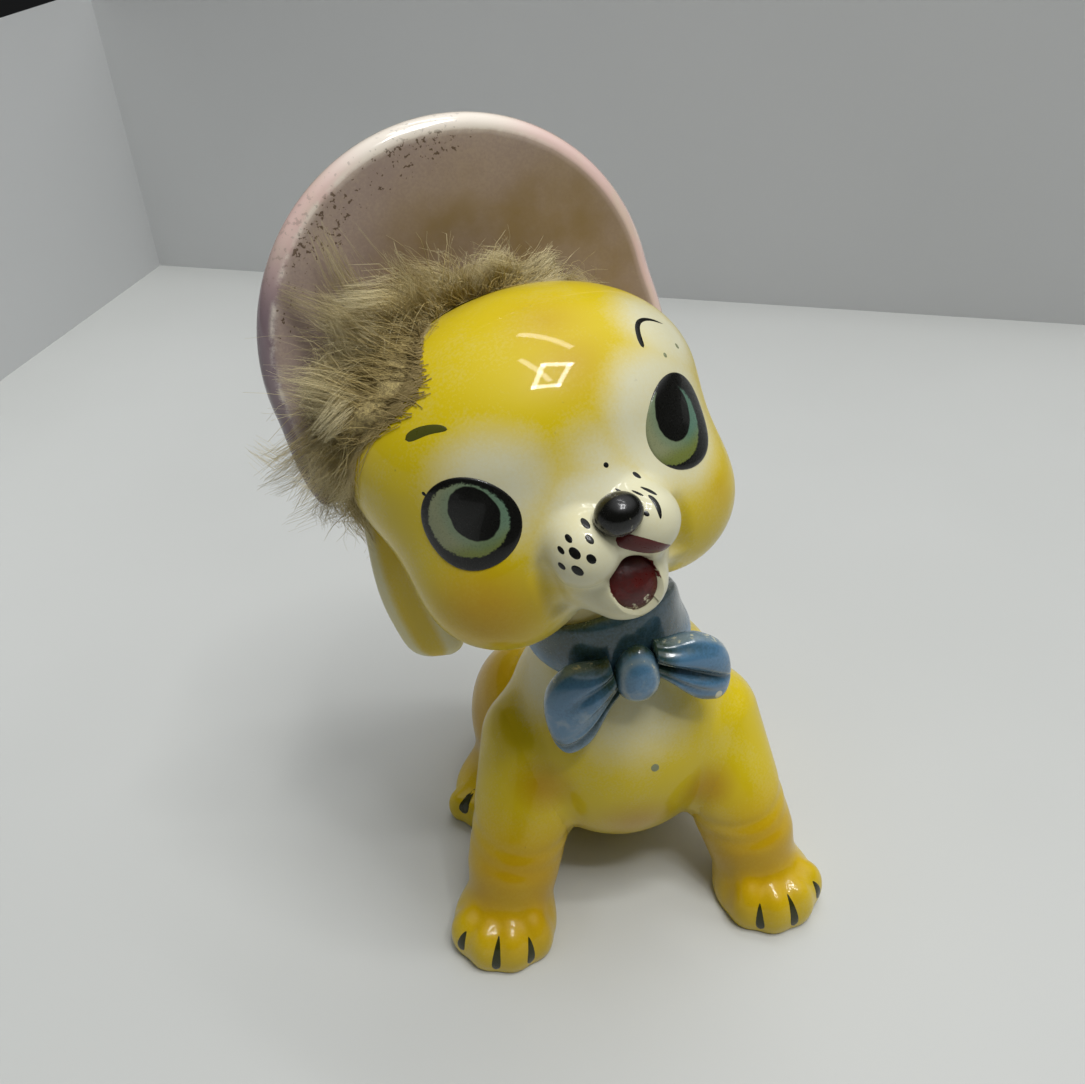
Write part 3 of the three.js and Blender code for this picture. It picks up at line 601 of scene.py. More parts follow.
def glaze_flow(name):
    """Slow unevenness of a poured glaze: a broad height, and a tone of that height and a fine grain."""
    broad_share = 0.55
    nodes, given, result = effect_group(name, {"Scale": 140.0, "Grain": 2600.0}, ("Height", "Tone"))
    broad = nodes.noise(given["Scale"], 3.0, 0.5)
    grain = nodes.noise(given["Grain"], 2.0, 0.6)
    tone = nodes.plus(nodes.times(broad, broad_share), nodes.times(grain, 1 - broad_share))
    nodes.feed(result["Height"], broad)
    nodes.feed(result["Tone"], tone)
    return nodes.tree


def worn_patches(name):
    """Wear on ridges: a ridge mask broken up by noise."""
    limit, steepness = 0.95, 9.0
    nodes, given, result = effect_group(name, {"Ridge": 0.0, "Scale": 700.0, "Amount": 0.5}, ("Mask",))
    chips = nodes.noise(given["Scale"], 4.0, 0.65)
    level = nodes.times(given["Ridge"], given["Amount"])
    edge = nodes.calc("SUBTRACT", nodes.plus(level, chips), limit)
    nodes.feed(result["Mask"], nodes.times(edge, steepness, True))
    return nodes.tree


EFFECTS = {"Dirt Specks": dirt_specks, "Glaze Flow": glaze_flow, "Worn Patches": worn_patches}

# Parts of a noise's range over which an effect comes in
WIDE = (0.3, 0.7)
NARROW = (0.35, 0.65)


def coat_glaze(paint):
    """Clear glaze over airbrushed yellow, orange deepened in places as painted shade, and cream; red in the
    mouth where that mask says.
    """
    mix = Mix("coat_glaze", paint.cream)
    flow = mix.effect("Glaze Flow")
    grain = mix.fade(flow["Tone"], *NARROW, -0.10, 0.10)
    mix.over(paint.yellow, mix.plus(mix.mask("yellow"), grain, True))
    # Orange: the airbrush's deeper coat, and painted shade where its spots are laid on deep
    orange = mix.mask("orange")
    mix.over(paint.orange, mix.plus(orange, mix.times(grain, orange), True))
    specks = mix.effect("Dirt Specks", Scale=520.0, Limit=0.74)["Mask"]
    mix.over(paint.dirt, mix.times(specks, 0.55))
    ragged = mix.fade(mix.noise(900.0), *WIDE, -0.22, 0.22)
    mix.over(paint.red, mix.fade(mix.plus(mix.mask("mouth"), ragged), 0.22, 0.06))
    roughness = mix.fade(flow["Tone"], *WIDE, 0.30, 0.40)
    return mix.finish(roughness, (flow["Height"], 0.12, 0.0006), 0.12, coat=0.45, coat_roughness=0.04)


# Painted eyes on the lens's map, 1 wide and 1 tall: pupil, iris, and the band over which teal comes in
EYE_LOOKS = {
    "right": {
        "pupil": (0.585, 0.60), "pupil_size": 0.235, "iris": (0.505, 0.545), "iris_size": 0.385,
        "teal_side": (0.45, 1.10)},
    "left": {
        "pupil": (0.42, 0.66), "pupil_size": 0.245, "iris": (0.345, 0.53), "iris_size": 0.40,
        "teal_side": (0.34, 0.56)},
}
PUPIL_TALL = 1.25


def eye_glaze(name, paint, pupil, pupil_size, iris, iris_size, teal_side):
    """Painted eye on the lens's map: a black outline, an iris that runs from pale to teal, a black pupil."""
    soft, brush_edge, wander_by = 0.008, 0.012, 0.035
    mix = Mix(name, paint.iris_pale)

    def vector(operation, first, second, socket=1):
        return mix.place("ShaderNodeVectorMath", {0: first, socket: second}, operation=operation)

    flat = mix.place("ShaderNodeUVMap", uv_map="UVMap")["UV"]
    wander = mix.place("ShaderNodeTexNoise", {"Vector": flat, "Scale": 9.0, "Detail": 4.0})["Color"]
    shift = vector("SCALE", vector("SUBTRACT", wander, (0.5, 0.5, 0.5))[0], wander_by, "Scale")[0]
    at = vector("ADD", flat, shift)[0]
    parts = mix.place("ShaderNodeSeparateXYZ", {0: at})

    def away(middle, tall=1.0):
        squeezed = vector("MULTIPLY", at, (1.0, 1.0 / tall, 1.0))[0]
        return vector("DISTANCE", squeezed, (middle[0], middle[1] / tall, 0.0))["Value"]

    from_pupil = away(pupil, PUPIL_TALL)
    near = mix.fade(from_pupil, pupil_size + 0.13, pupil_size + 0.01)
    streaks = mix.noise(40.0, 4.0, 0.7, at)
    brushed = mix.plus(away(iris), mix.fade(streaks, *WIDE, -brush_edge, brush_edge))
    mix.over(paint.iris_teal, mix.fade(parts["X"], *teal_side))
    mix.over(paint.iris_low, mix.fade(parts["Y"], 0.42, 0.20))
    mix.over(paint.iris_teal, mix.times(near, 0.4))
    mix.over(paint.black, mix.fade(streaks, 0.45, 0.75, 0.0, 0.35))
    mix.over(paint.black, mix.fade(from_pupil, pupil_size + soft, pupil_size - soft))
    mix.over(paint.black, mix.fade(brushed, iris_size - brush_edge, iris_size + brush_edge))
    return mix.finish(mix.fade(streaks, *WIDE, 0.25, 0.35), (streaks, 0.03, 0.0002), 0.2, coat=0.4)


def nose_glaze(paint):
    """Black gloss with a few pale pinholes."""
    mix = Mix("nose_glaze", paint.black)
    mix.over(paint.cream, mix.times(mix.effect("Dirt Specks", Scale=620.0, Limit=0.60)["Mask"], 0.35))
    flow = mix.effect("Glaze Flow", Scale=260.0)
    roughness = mix.fade(flow["Tone"], *WIDE, 0.2, 0.35)
    return mix.finish(roughness, (flow["Height"], 0.25, 0.0006), 0.25, coat=0.4)


def mouth_paint(paint):
    """Uneven dark red paint, worn to the pale body in specks."""
    mix = Mix("mouth_paint", paint.red)
    flow = mix.effect("Glaze Flow", Scale=420.0)
    mix.over(paint.black, mix.fade(flow["Tone"], *NARROW))
    mix.over(paint.red, 0.55)
    chips = mix.effect("Worn Patches", Ridge=mix.mask("ridge"), Scale=900.0, Amount=0.42)["Mask"]
    mix.over(paint.cream, chips)
    return mix.finish(mix.fade(flow["Tone"], *WIDE, 0.25, 0.5), (flow["Height"], 0.4, 0.0008))


def brush_paint(name, color, paint):
    """Thin brushed paint, turning to olive where the brush ran dry."""
    mix = Mix(name, color)
    dry = mix.noise(1500.0, 4.0, 0.7)
    mix.over(paint.olive, mix.fade(dry, 0.58, 0.8, 0.0, 0.5))
    return mix.finish(mix.fade(dry, *WIDE, 0.25, 0.4), (dry, 0.05, 0.0002), 0.2, coat=0.3)


def bonnet_glaze(paint):
    """Matt pink face with brown specks and stain, pearly gloss on the rim with a painted highlight along its
    top, and mauve where the pearl is worn and as painted shade low on the left.
    """
    mix = Mix("bonnet_glaze", paint.pearl)
    rim = mix.mask("rim")
    flow = mix.effect("Glaze Flow", Scale=90.0)
    mix.over(paint.cream, mix.fade(mix.noise(160.0, 5.0), 0.42, 0.70, 0.0, 0.35))
    # Painted highlight: bisque along the top of the rim
    mix.over(paint.bisque, mix.times(mix.mask("top_highlight"), 0.95))
    # Bare mauve low on the left of the rim, laid on partly as painted shade
    mix.over(paint.mauve, mix.mask("low"))
    pearl, mix.color = mix.color, (*paint.pink, 1.0)
    mix.over(paint.mauve, mix.fade(flow["Tone"], *NARROW, 0.0, 0.4))
    soaked = mix.fade(mix.noise(120.0, 5.0), *WIDE, 0.45, 1.0)
    mix.over(paint.stain, mix.times(mix.mask("stain"), soaked))
    mix.color = mix.tint(rim, mix.color, pearl)
    rubbed = mix.fade(mix.noise(420.0, 5.0, 0.7), 0.38, 0.62, 0.0, 0.8)
    mix.over(paint.bisque, mix.times(mix.mask("ridge"), rubbed))
    limit = mix.fade(mix.mask("grime"), 0.0, 1.0, 0.74, 0.565)
    specks = mix.effect("Dirt Specks", Scale=1700.0, Limit=limit)["Mask"]
    mix.over(paint.dirt, mix.times(specks, mix.fade(rim, 0.0, 1.0, 0.8, 0.3)))
    roughness = mix.plus(mix.fade(rim, 0.0, 1.0, 0.55, 0.13), mix.times(specks, 0.3))
    coat = mix.fade(rim, 0.2, 1.0, 0.0, 0.6)
    return mix.finish(roughness, (flow["Height"], 0.15, 0.0008), coat=coat, coat_roughness=0.05)


def ribbon_glaze(paint):
    """Slate blue gloss, dark green where the glaze pools and as painted shade in the folds and under the
    jaw, with a painted highlight along the ridges, which are also worn white in chips.
    """
    mix = Mix("ribbon_glaze", paint.blue)
    flow = mix.effect("Glaze Flow", Scale=220.0)
    ridge = mix.mask("ridge")
    mix.over(paint.cream, mix.fade(mix.noise(260.0, 5.0, 0.6), 0.52, 0.80, 0.0, 0.25))
    # Painted highlight along the ridges
    mix.over(paint.cream, mix.times(ridge, 0.3))
    uneven = mix.fade(flow["Tone"], *NARROW, -0.18, 0.22)
    # Dark green where the glaze pools, and painted shade in the folds, round the knot and on the band under
    # the jaw
    mix.over(paint.pooling_and_shade, mix.plus(mix.mask("pooling_and_shade"), uneven, True))
    mix.over(paint.cream, mix.fade(mix.mask("chip"), 0.4, 0.6))
    chips = mix.effect("Worn Patches", Ridge=ridge, Scale=800.0, Amount=0.56)["Mask"]
    mix.over(paint.cream, mix.times(chips, 0.8))
    roughness = mix.fade(flow["Tone"], *WIDE, 0.12, 0.28)
    return mix.finish(roughness, (flow["Height"], 0.25, 0.0008), coat=0.4)


def hair_material(paint):
    """Hair that lightens from root to tip, each hair with its own tone."""
    mix = Mix("rabbit_hair", paint.hair_root)
    along = mix.mask("along")
    mix.over(paint.hair_middle, mix.fade(along, 0.0, 0.55))
    mix.over(paint.hair_tip, mix.fade(along, 0.45, 1.0))
    mix.over(paint.hair_root, mix.times(mix.mask("tone"), 0.65))
    return mix.finish(mix.fade(mix.noise(800.0), *WIDE, 0.45, 0.65), specular=0.25)


def undercoat_material(paint):
    """Dense felted under-hair."""
    mix = Mix("rabbit_undercoat", paint.hair_root)
    fibres = mix.noise(1800.0, 6.0, 0.75)
    mix.over(paint.hair_middle, mix.fade(fibres, *NARROW))
    return mix.finish(mix.fade(fibres, *WIDE, 0.75, 0.95), (fibres, 0.8, 0.0008))


def hide_material(paint):
    """Raw leather with a fine grain."""
    mix = Mix("raw_hide", paint.stain)
    grain = mix.noise(1200.0, 6.0, 0.7)
    mix.over(paint.hair_root, mix.fade(grain, *WIDE))
    return mix.finish(mix.fade(grain, *WIDE, 0.7, 0.9), (grain, 0.5, 0.0004))


def matt_paint(name, plain):
    """Pale matt paint, faintly clouded."""
    mix = Mix(name, plain)
    mix.over((1.0, 1.0, 1.0), mix.fade(mix.noise(6.0, 3.0), *WIDE, 0.0, 0.06))
    return mix.finish(0.6)


# Airbrush spots: where, the distance up to which they are full, and the distance at which they have faded
HEAD_WHITE = (
    ((-10.5, -17.5, 4.5), 2.0, 10.5), ((13, -16.2, 3), 6.0, 12.5), ((18, -11, 12), 2.5, 10.0),
    ((0, -22, -6.5), 7.0, 12.5), ((0, -17, -16.5), 6.0, 12.5), ((9, -19, -1), 1.0, 7.0),
    ((2, -20.5, 2.5), -2.0, 8.5),
)
# Orange spots: airbrush on the forehead and cheeks; the strong spot on the right cheek (-X) is deepened as
# painted shade, where that cheek lies in shade
HEAD_ORANGE = (
    ((4, -17.3, 14), -6.0, 9.0), ((4, -13, 19.5), -6.0, 9.0),
    ((-17, -13.5, -10), 1.0, 11.0), ((16.5, -14.5, -9), -8.0, 9.0),
)
BODY_WHITE = (
    ((0, -31, 45), 3.0, 14.0), ((-2, -24, 58), 10.0, 18.0), ((-14, -22, 45), 1.0, 9.5),
)
BODY_PALE = (((-12, -33, 14), 2.0, 9.0), ((13, -34, 15), 1.0, 9.0))
# Orange spots: airbrush on the legs, elbows, chest and back; the broad spots over the leg fronts and the
# haunches are laid on deep as painted shade as well as airbrush
BODY_ORANGE = (
    ((-20, -34, 12), 4.0, 19.0), ((20, -34, 12), 3.0, 18.0), ((-14, -28, 29), 0.5, 7.0),
    ((12, -29, 25), 0.5, 7.0), ((0, -31, 21), 0.0, 9.0), ((0, 8, 24), 2.0, 22.0),
    ((-20, 4, 17), 6.0, 24.0), ((20, 4, 17), 6.0, 24.0),
)
# The orange is laid on deep, partly so that its spots serve as painted shade
OVERSPRAY, ORANGE_DEPTH, PALE_DEPTH = 0.22, 0.95, 0.2


def sprayed(points, spots):
    """The strongest of several airbrush spots at each point."""
    return np.max([spot(points, *each) for each in spots], axis=0)


def coat_masks(points, white, orange, pale=()):
    """Yellow everywhere but in the white spots and thinner in the pale ones, orange in its own; no red."""
    flat = points.reshape(-1, 3)
    bare = sprayed(flat, white)
    thin = PALE_DEPTH * sprayed(flat, pale) if pale else 0.0
    deep = ORANGE_DEPTH * sprayed(flat, orange) * (1 - bare) ** 2
    return {"yellow": np.clip(1 - bare - thin, 0, 1), "orange": deep, "mouth": np.ones(len(flat))}


def body_masks(points):
    """Airbrush masks that torso, legs and tail share, so that the paint runs on from one to the next."""
    masks = coat_masks(points, BODY_WHITE, BODY_ORANGE, BODY_PALE)
    masks["yellow"] = OVERSPRAY + (1 - OVERSPRAY) * masks["yellow"]
    return masks


def add_coat(name, grid, paint, masks, **closing):
    """Adds a grid in the airbrushed glaze, which is made once."""
    material = bpy.data.materials.get("coat_glaze") or coat_glaze(paint)
    add_grid(name, grid, material, "body_glaze", masks, **closing)


class PUPPY_OT_head(bpy.types.Operator):
    """Head casting with its airbrushed mask"""

    bl_idname = "puppy.head"
    bl_label = "Head"

    def execute(self, context):
        grid = polar_grid(head_field, HEAD_MIDDLE, MOUTH[0], rings=200, sides=320, crowding=1.4)
        masks = coat_masks(grid, HEAD_WHITE, HEAD_ORANGE)
        masks["mouth"] = ellipsoid(grid.reshape(-1, 3), *MOUTH)
        add_coat("head", head_to_body(grid), context.scene.puppy_paint, masks)
        return {"FINISHED"}


class PUPPY_OT_torso(bpy.types.Operator):
    """Body casting with its cream chest and flat seat"""

    bl_idname = "puppy.torso"
    bl_label = "Torso"

    def execute(self, context):
        pole = np.subtract(NECK[0], BODY_MIDDLE)
        grid = polar_grid(torso_field, BODY_MIDDLE, pole, rings=170, sides=240, crowding=1.1)
        grid[..., 2] = np.maximum(grid[..., 2], 0)
        add_coat("torso", grid, context.scene.puppy_paint, body_masks(grid))
        return {"FINISHED"}


class PUPPY_OT_legs(bpy.types.Operator):
    """Front legs and folded hind legs with their toes"""

    bl_idname = "puppy.legs"
    bl_label = "Legs"

    def execute(self, context):
        paint = context.scene.puppy_paint
        for name, side in SIDES.items():
            low, high = (PAW[0][0] * side, PAW[0][1], 0), (SHOULDER[0] * side, *SHOULDER[1:])
            grid = standing_grid(lambda p: front_leg_field(p, side), low, high, rings=110, sides=150)
            add_coat(f"front_leg_{name}", grid, paint, body_masks(grid))
            low = ((HAUNCH[0][0] + HIND_FOOT[0][0]) / 2 * side, (HAUNCH[0][1] + HIND_FOOT[0][1]) / 2, 0)
            high = mirrored(HAUNCH, side)[0]
            grid = standing_grid(lambda p: hind_leg_field(p, side), low, high, rings=90, sides=130)
            add_coat(f"hind_leg_{name}", grid, paint, body_masks(grid))
        return {"FINISHED"}


class PUPPY_OT_tail(bpy.types.Operator):
    """Short tapering tail that turns up"""

    bl_idname = "puppy.tail"
    bl_label = "Tail"

    def execute(self, context):
        rings, sides, end_rounding = 60, 40, 8
        t = np.linspace(0, 1, rings)[:, None]
        root, bend, tip = (np.asarray(p, float) for p in (TAIL_ROOT, TAIL_BEND, TAIL_TIP))
        middle = (1 - t) ** 2 * root + 2 * t * (1 - t) * bend + t ** 2 * tip
        forward = unit((1 - t) * (bend - root) + t * (tip - bend))
        across = np.broadcast_to((1.0, 0.0, 0.0), middle.shape)
        radius = (TAIL_RADII[0] + (TAIL_RADII[1] - TAIL_RADII[0]) * t) * np.sqrt(1 - t ** end_rounding)
        turn = full_turn(sides)[None]
        over = np.cross(across, forward)
        grid = swept_grid(middle, across, over, radius * np.cos(turn), radius * np.sin(turn))
        add_coat("tail", grid, context.scene.puppy_paint, body_masks(grid), capped=True)
        return {"FINISHED"}


class PUPPY_OT_ears(bpy.types.Operator):
    """Hanging ear flaps with a lengthwise groove"""

    bl_idname = "puppy.ears"
    bl_label = "Ears"

    def execute(self, context):
        rings, sides, tip_start, drawn_in, blunt = 90, 72, 0.72, 0.65, 6
        thin_yellow, groove_orange, groove_from = 0.25, 0.3, (0.78, 0.99)
        t = np.linspace(0, 1, rings)[:, None]
        angle = full_turn(sides)[None]
        swell = drawn_in + (1 - drawn_in) * smooth(0, tip_start, t)
        tip = np.sqrt(1 - np.maximum(0, (t - tip_start) / (1 - tip_start)) ** blunt)
        outward = np.maximum(0, np.sin(angle))
        for name, side in SIDES.items():
            turn = np.radians(EAR["turn"])
            across = np.broadcast_to((side * np.sin(turn), np.cos(turn), 0), (rings, 3))
            over = np.broadcast_to((side * np.cos(turn), -np.sin(turn), 0), (rings, 3))
            out = EAR_HANG["out"] + EAR_HANG["flare"] * np.sin(np.pi * t) + EAR_HANG["splay"] * t ** 2
            back, height = EAR_HANG["back"] - EAR_HANG["swing"] * t, EAR_HANG["top"] - EAR["length"] * t
            middle = np.concatenate([side * out, back, height], -1)
            width = EAR["width"] + (EAR["tip_width"] - EAR["width"]) * t
            u = width * swell * tip * np.cos(angle)
            v = EAR["thickness"] * tip * np.sin(angle) - EAR["groove"] * tip * outward ** 2
            grid = swept_grid(middle, across, over, u, v)
            groove = np.broadcast_to(smooth(*groove_from, outward), (rings, sides))
            yellow = thin_yellow + (1 - thin_yellow) * groove
            masks = {"yellow": yellow, "orange": groove_orange * groove, "mouth": np.ones_like(groove)}
            paint = context.scene.puppy_paint
            add_coat(f"ear_{name}", head_to_body(grid), paint, masks, capped=True)
        return {"FINISHED"}


class PUPPY_OT_eyes(bpy.types.Operator):
    """Low eye lenses with painted iris, pupil and outline"""

    bl_idname = "puppy.eyes"
    bl_label = "Eyes"

    def execute(self, context):
        paint = context.scene.puppy_paint
        proud, sunk, bed, rings, sides = 0.75, 0.04, 0.5, 40, 120
        away, turn = np.meshgrid(np.linspace(0, 1, rings), full_turn(sides), indexing="ij")
        flat_map = 0.5 + 0.5 * np.stack([away * np.cos(turn), away * np.sin(turn)], -1)
        uv = np.concatenate([flat_map, flat_map[::-1]])
        middle = np.asarray(HEAD_MIDDLE, float)
        for name, side in SIDES.items():
            azimuth = side * EYE["azimuth"] + EYE["wide"] * away * np.cos(turn)
            lift = EYE["lift"] + EYE["tall"] * away * np.sin(turn)
            directions = angles_to_directions(azimuth, lift)
            surface = reach(head_field, middle, directions)
            dome = surface + proud * np.sqrt(np.maximum(0, 1 - away ** 2)) - sunk
            front_points = middle + directions * dome[..., None]
            back_points = (middle + directions * (surface - bed)[..., None])[::-1]
            grid = head_to_body(np.concatenate([front_points, back_points]))
            material = eye_glaze(f"eye_glaze_{name}", paint, **EYE_LOOKS[name])
            add_grid(f"eye_{name}", grid, material, "eye_glaze", uv=uv)
        return {"FINISHED"}


class PUPPY_OT_nose_and_mouth(bpy.types.Operator):
    """Nose button and the red tongue in the mouth"""

    bl_idname = "puppy.nose_and_mouth"
    bl_label = "Nose and Mouth"

    def execute(self, context):
        paint = context.scene.puppy_paint
        lip_worn = (-14.0, -15.2)
        grid = polar_grid(lambda p: ellipsoid(p, *NOSE), NOSE[0], (0, -1, 0), rings=60, sides=80)
        add_grid("nose", head_to_body(grid), nose_glaze(paint), "nose_glaze")
        grid = polar_grid(lambda p: ellipsoid(p, *TONGUE), TONGUE[0], (0, -1, 0), rings=50, sides=70)
        ridge = smooth(*lip_worn, grid[..., 2])
        add_grid("tongue", head_to_body(grid), mouth_paint(paint), "mouth_glaze", {"ridge": ridge})
        return {"FINISHED"}


def brim_front(radius):
    """How far the dished front face lies behind the rim at a radius."""
    return BRIM["dish"] * (1 - (radius / BRIM["radius"]) ** 2)


def brim_reach(degrees):
    """Radius of the rim: round over the top, flared and then rounded off at its two ends."""
    flare_from, end_rounding = 90, 8
    flare = BRIM["flare"] * smooth(flare_from, BRIM["reach"], np.abs(degrees))
    last = np.maximum(0, (np.abs(degrees) - BRIM["reach"] + end_rounding) / end_rounding)
    return BRIM["root"] + (BRIM["radius"] + flare - BRIM["root"]) * np.sqrt(np.maximum(0, 1 - last ** 2))


def crown_field(points):
    """The crown without what lies in front of the brim's back or below the hem."""
    edge = 1.5
    form = carve(ellipsoid(points, *CROWN), head_to_brim(points)[..., 1] - BRIM["dish"], edge)
    return carve(form, points[..., 2] - CROWN_HEM, edge)


# Wear, stains, grime and painted light and shade of the brim: where each effect comes in, in degrees round,
# millimetres out or shares of the radius
BRIM_WEAR_AND_LIGHT = {
    "outer": (0.6, 0.95), "low": (-36.0, -64.0), "rubbed_to": (60.0, 20.0), "top_highlight_from": (-28.0, -6.0),
    "top_highlight_to": (44.0, 22.0), "stained": (27.0, 14.0), "stain_right": (20.0, -50.0),
    "stain_left": (25.0, 60.0), "grimy": (18.0, 25.0), "grime_from": (-85.0, -60.0), "grime_to": (35.0, 0.0),
}


class PUPPY_OT_bonnet(bpy.types.Operator):
    """Turned-up bonnet brim with its rounded rim, and the crown behind the head"""

    bl_idname = "puppy.bonnet"
    bl_label = "Bonnet"

    def execute(self, context):
        material = bonnet_glaze(context.scene.puppy_paint)
        self.add_brim(material)
        grid = polar_grid(crown_field, CROWN_INSIDE, (0, 1, 0), rings=110, sides=170)
        masks = {"rim": np.ones(grid.shape[:2])}
        add_grid("bonnet_crown", head_to_body(grid), material, "bonnet_glaze", masks)
        return {"FINISHED"}

    def add_brim(self, material):
        """A dished sheet round an arc: its front face, a half-round rim and its back."""
        face_steps, rim_steps, arc_steps = 40, 28, 260
        half = BRIM["thickness"] / 2
        degrees = np.linspace(-BRIM["reach"], BRIM["reach"], arc_steps)[:, None]
        edge = np.maximum(brim_reach(degrees) - half, BRIM["root"])
        face = BRIM["root"] + (edge - BRIM["root"]) * np.linspace(0, 1, face_steps)[None]
        round_off = np.linspace(0, np.pi, rim_steps)[None, 1:-1]
        radius = np.concatenate([face, edge + half * np.sin(round_off), face[:, ::-1]], 1)
        rim_back = brim_front(edge) + half * (1 - np.cos(round_off))
        back = np.concatenate([brim_front(face), rim_back, brim_front(face[:, ::-1]) + 2 * half], 1)
        angle = np.radians(degrees)
        grid = brim_to_head(np.stack([radius * np.sin(angle), back, radius * np.cos(angle)], -1))
        masks = self.brim_masks(degrees, radius, edge, np.arange(radius.shape[1])[None] - face_steps)
        add_grid("bonnet_brim", head_to_body(grid), material, "bonnet_glaze", masks, capped=True)

    def brim_masks(self, degrees, radius, edge, past_face):
        """Where the brim is rim, rubbed, bare mauve and painted shade, stained, grimy, and given a painted
        highlight along its top; columns past its face count on.
        """
        rubbed_at, rubbed_wide, stain_right, stain_left = 0.5, 1.5, 5, 7

        def wear_and_light(name, value):
            return smooth(*BRIM_WEAR_AND_LIGHT[name], value)

        outer = wear_and_light("outer", radius / edge)
        stain_edge = radius + stain_right * wear_and_light("stain_right", degrees)
        stain_edge = stain_edge - stain_left * wear_and_light("stain_left", degrees)
        return {
            "rim": smooth(-2.0, 1.0, past_face) * np.ones_like(degrees),
            "ridge": bell(past_face, rubbed_at, rubbed_wide) * wear_and_light("rubbed_to", degrees),
            # Bare mauve, partly painted shade, low on the left of the rim
            "low": wear_and_light("low", degrees) * outer,
            "stain": wear_and_light("stained", stain_edge) * (1 - smooth(-2, 0, past_face)),
            "grime": wear_and_light("grimy", radius) * wear_and_light("grime_from", degrees) * wear_and_light("grime_to", degrees),
            # Painted highlight along the top of the rim
            "top_highlight": wear_and_light("top_highlight_from", degrees) * wear_and_light("top_highlight_to", degrees) * outer,
        }


def ribbon_reach(degrees, height):
    """Points of the body's skin on the ribbon's tilted turns, and the way out to them from its axis."""
    angle = np.radians(degrees)
    out = np.stack(np.broadcast_arrays(np.cos(angle), np.sin(angle), 0 * angle * height), -1) @ RIBBON_TURN.T
    start = np.asarray(RIBBON_AT) + (height * np.ones_like(angle))[..., None] * RIBBON_TURN[:, 2]
    return start + out * reach(body_field, start, out)[..., None], out


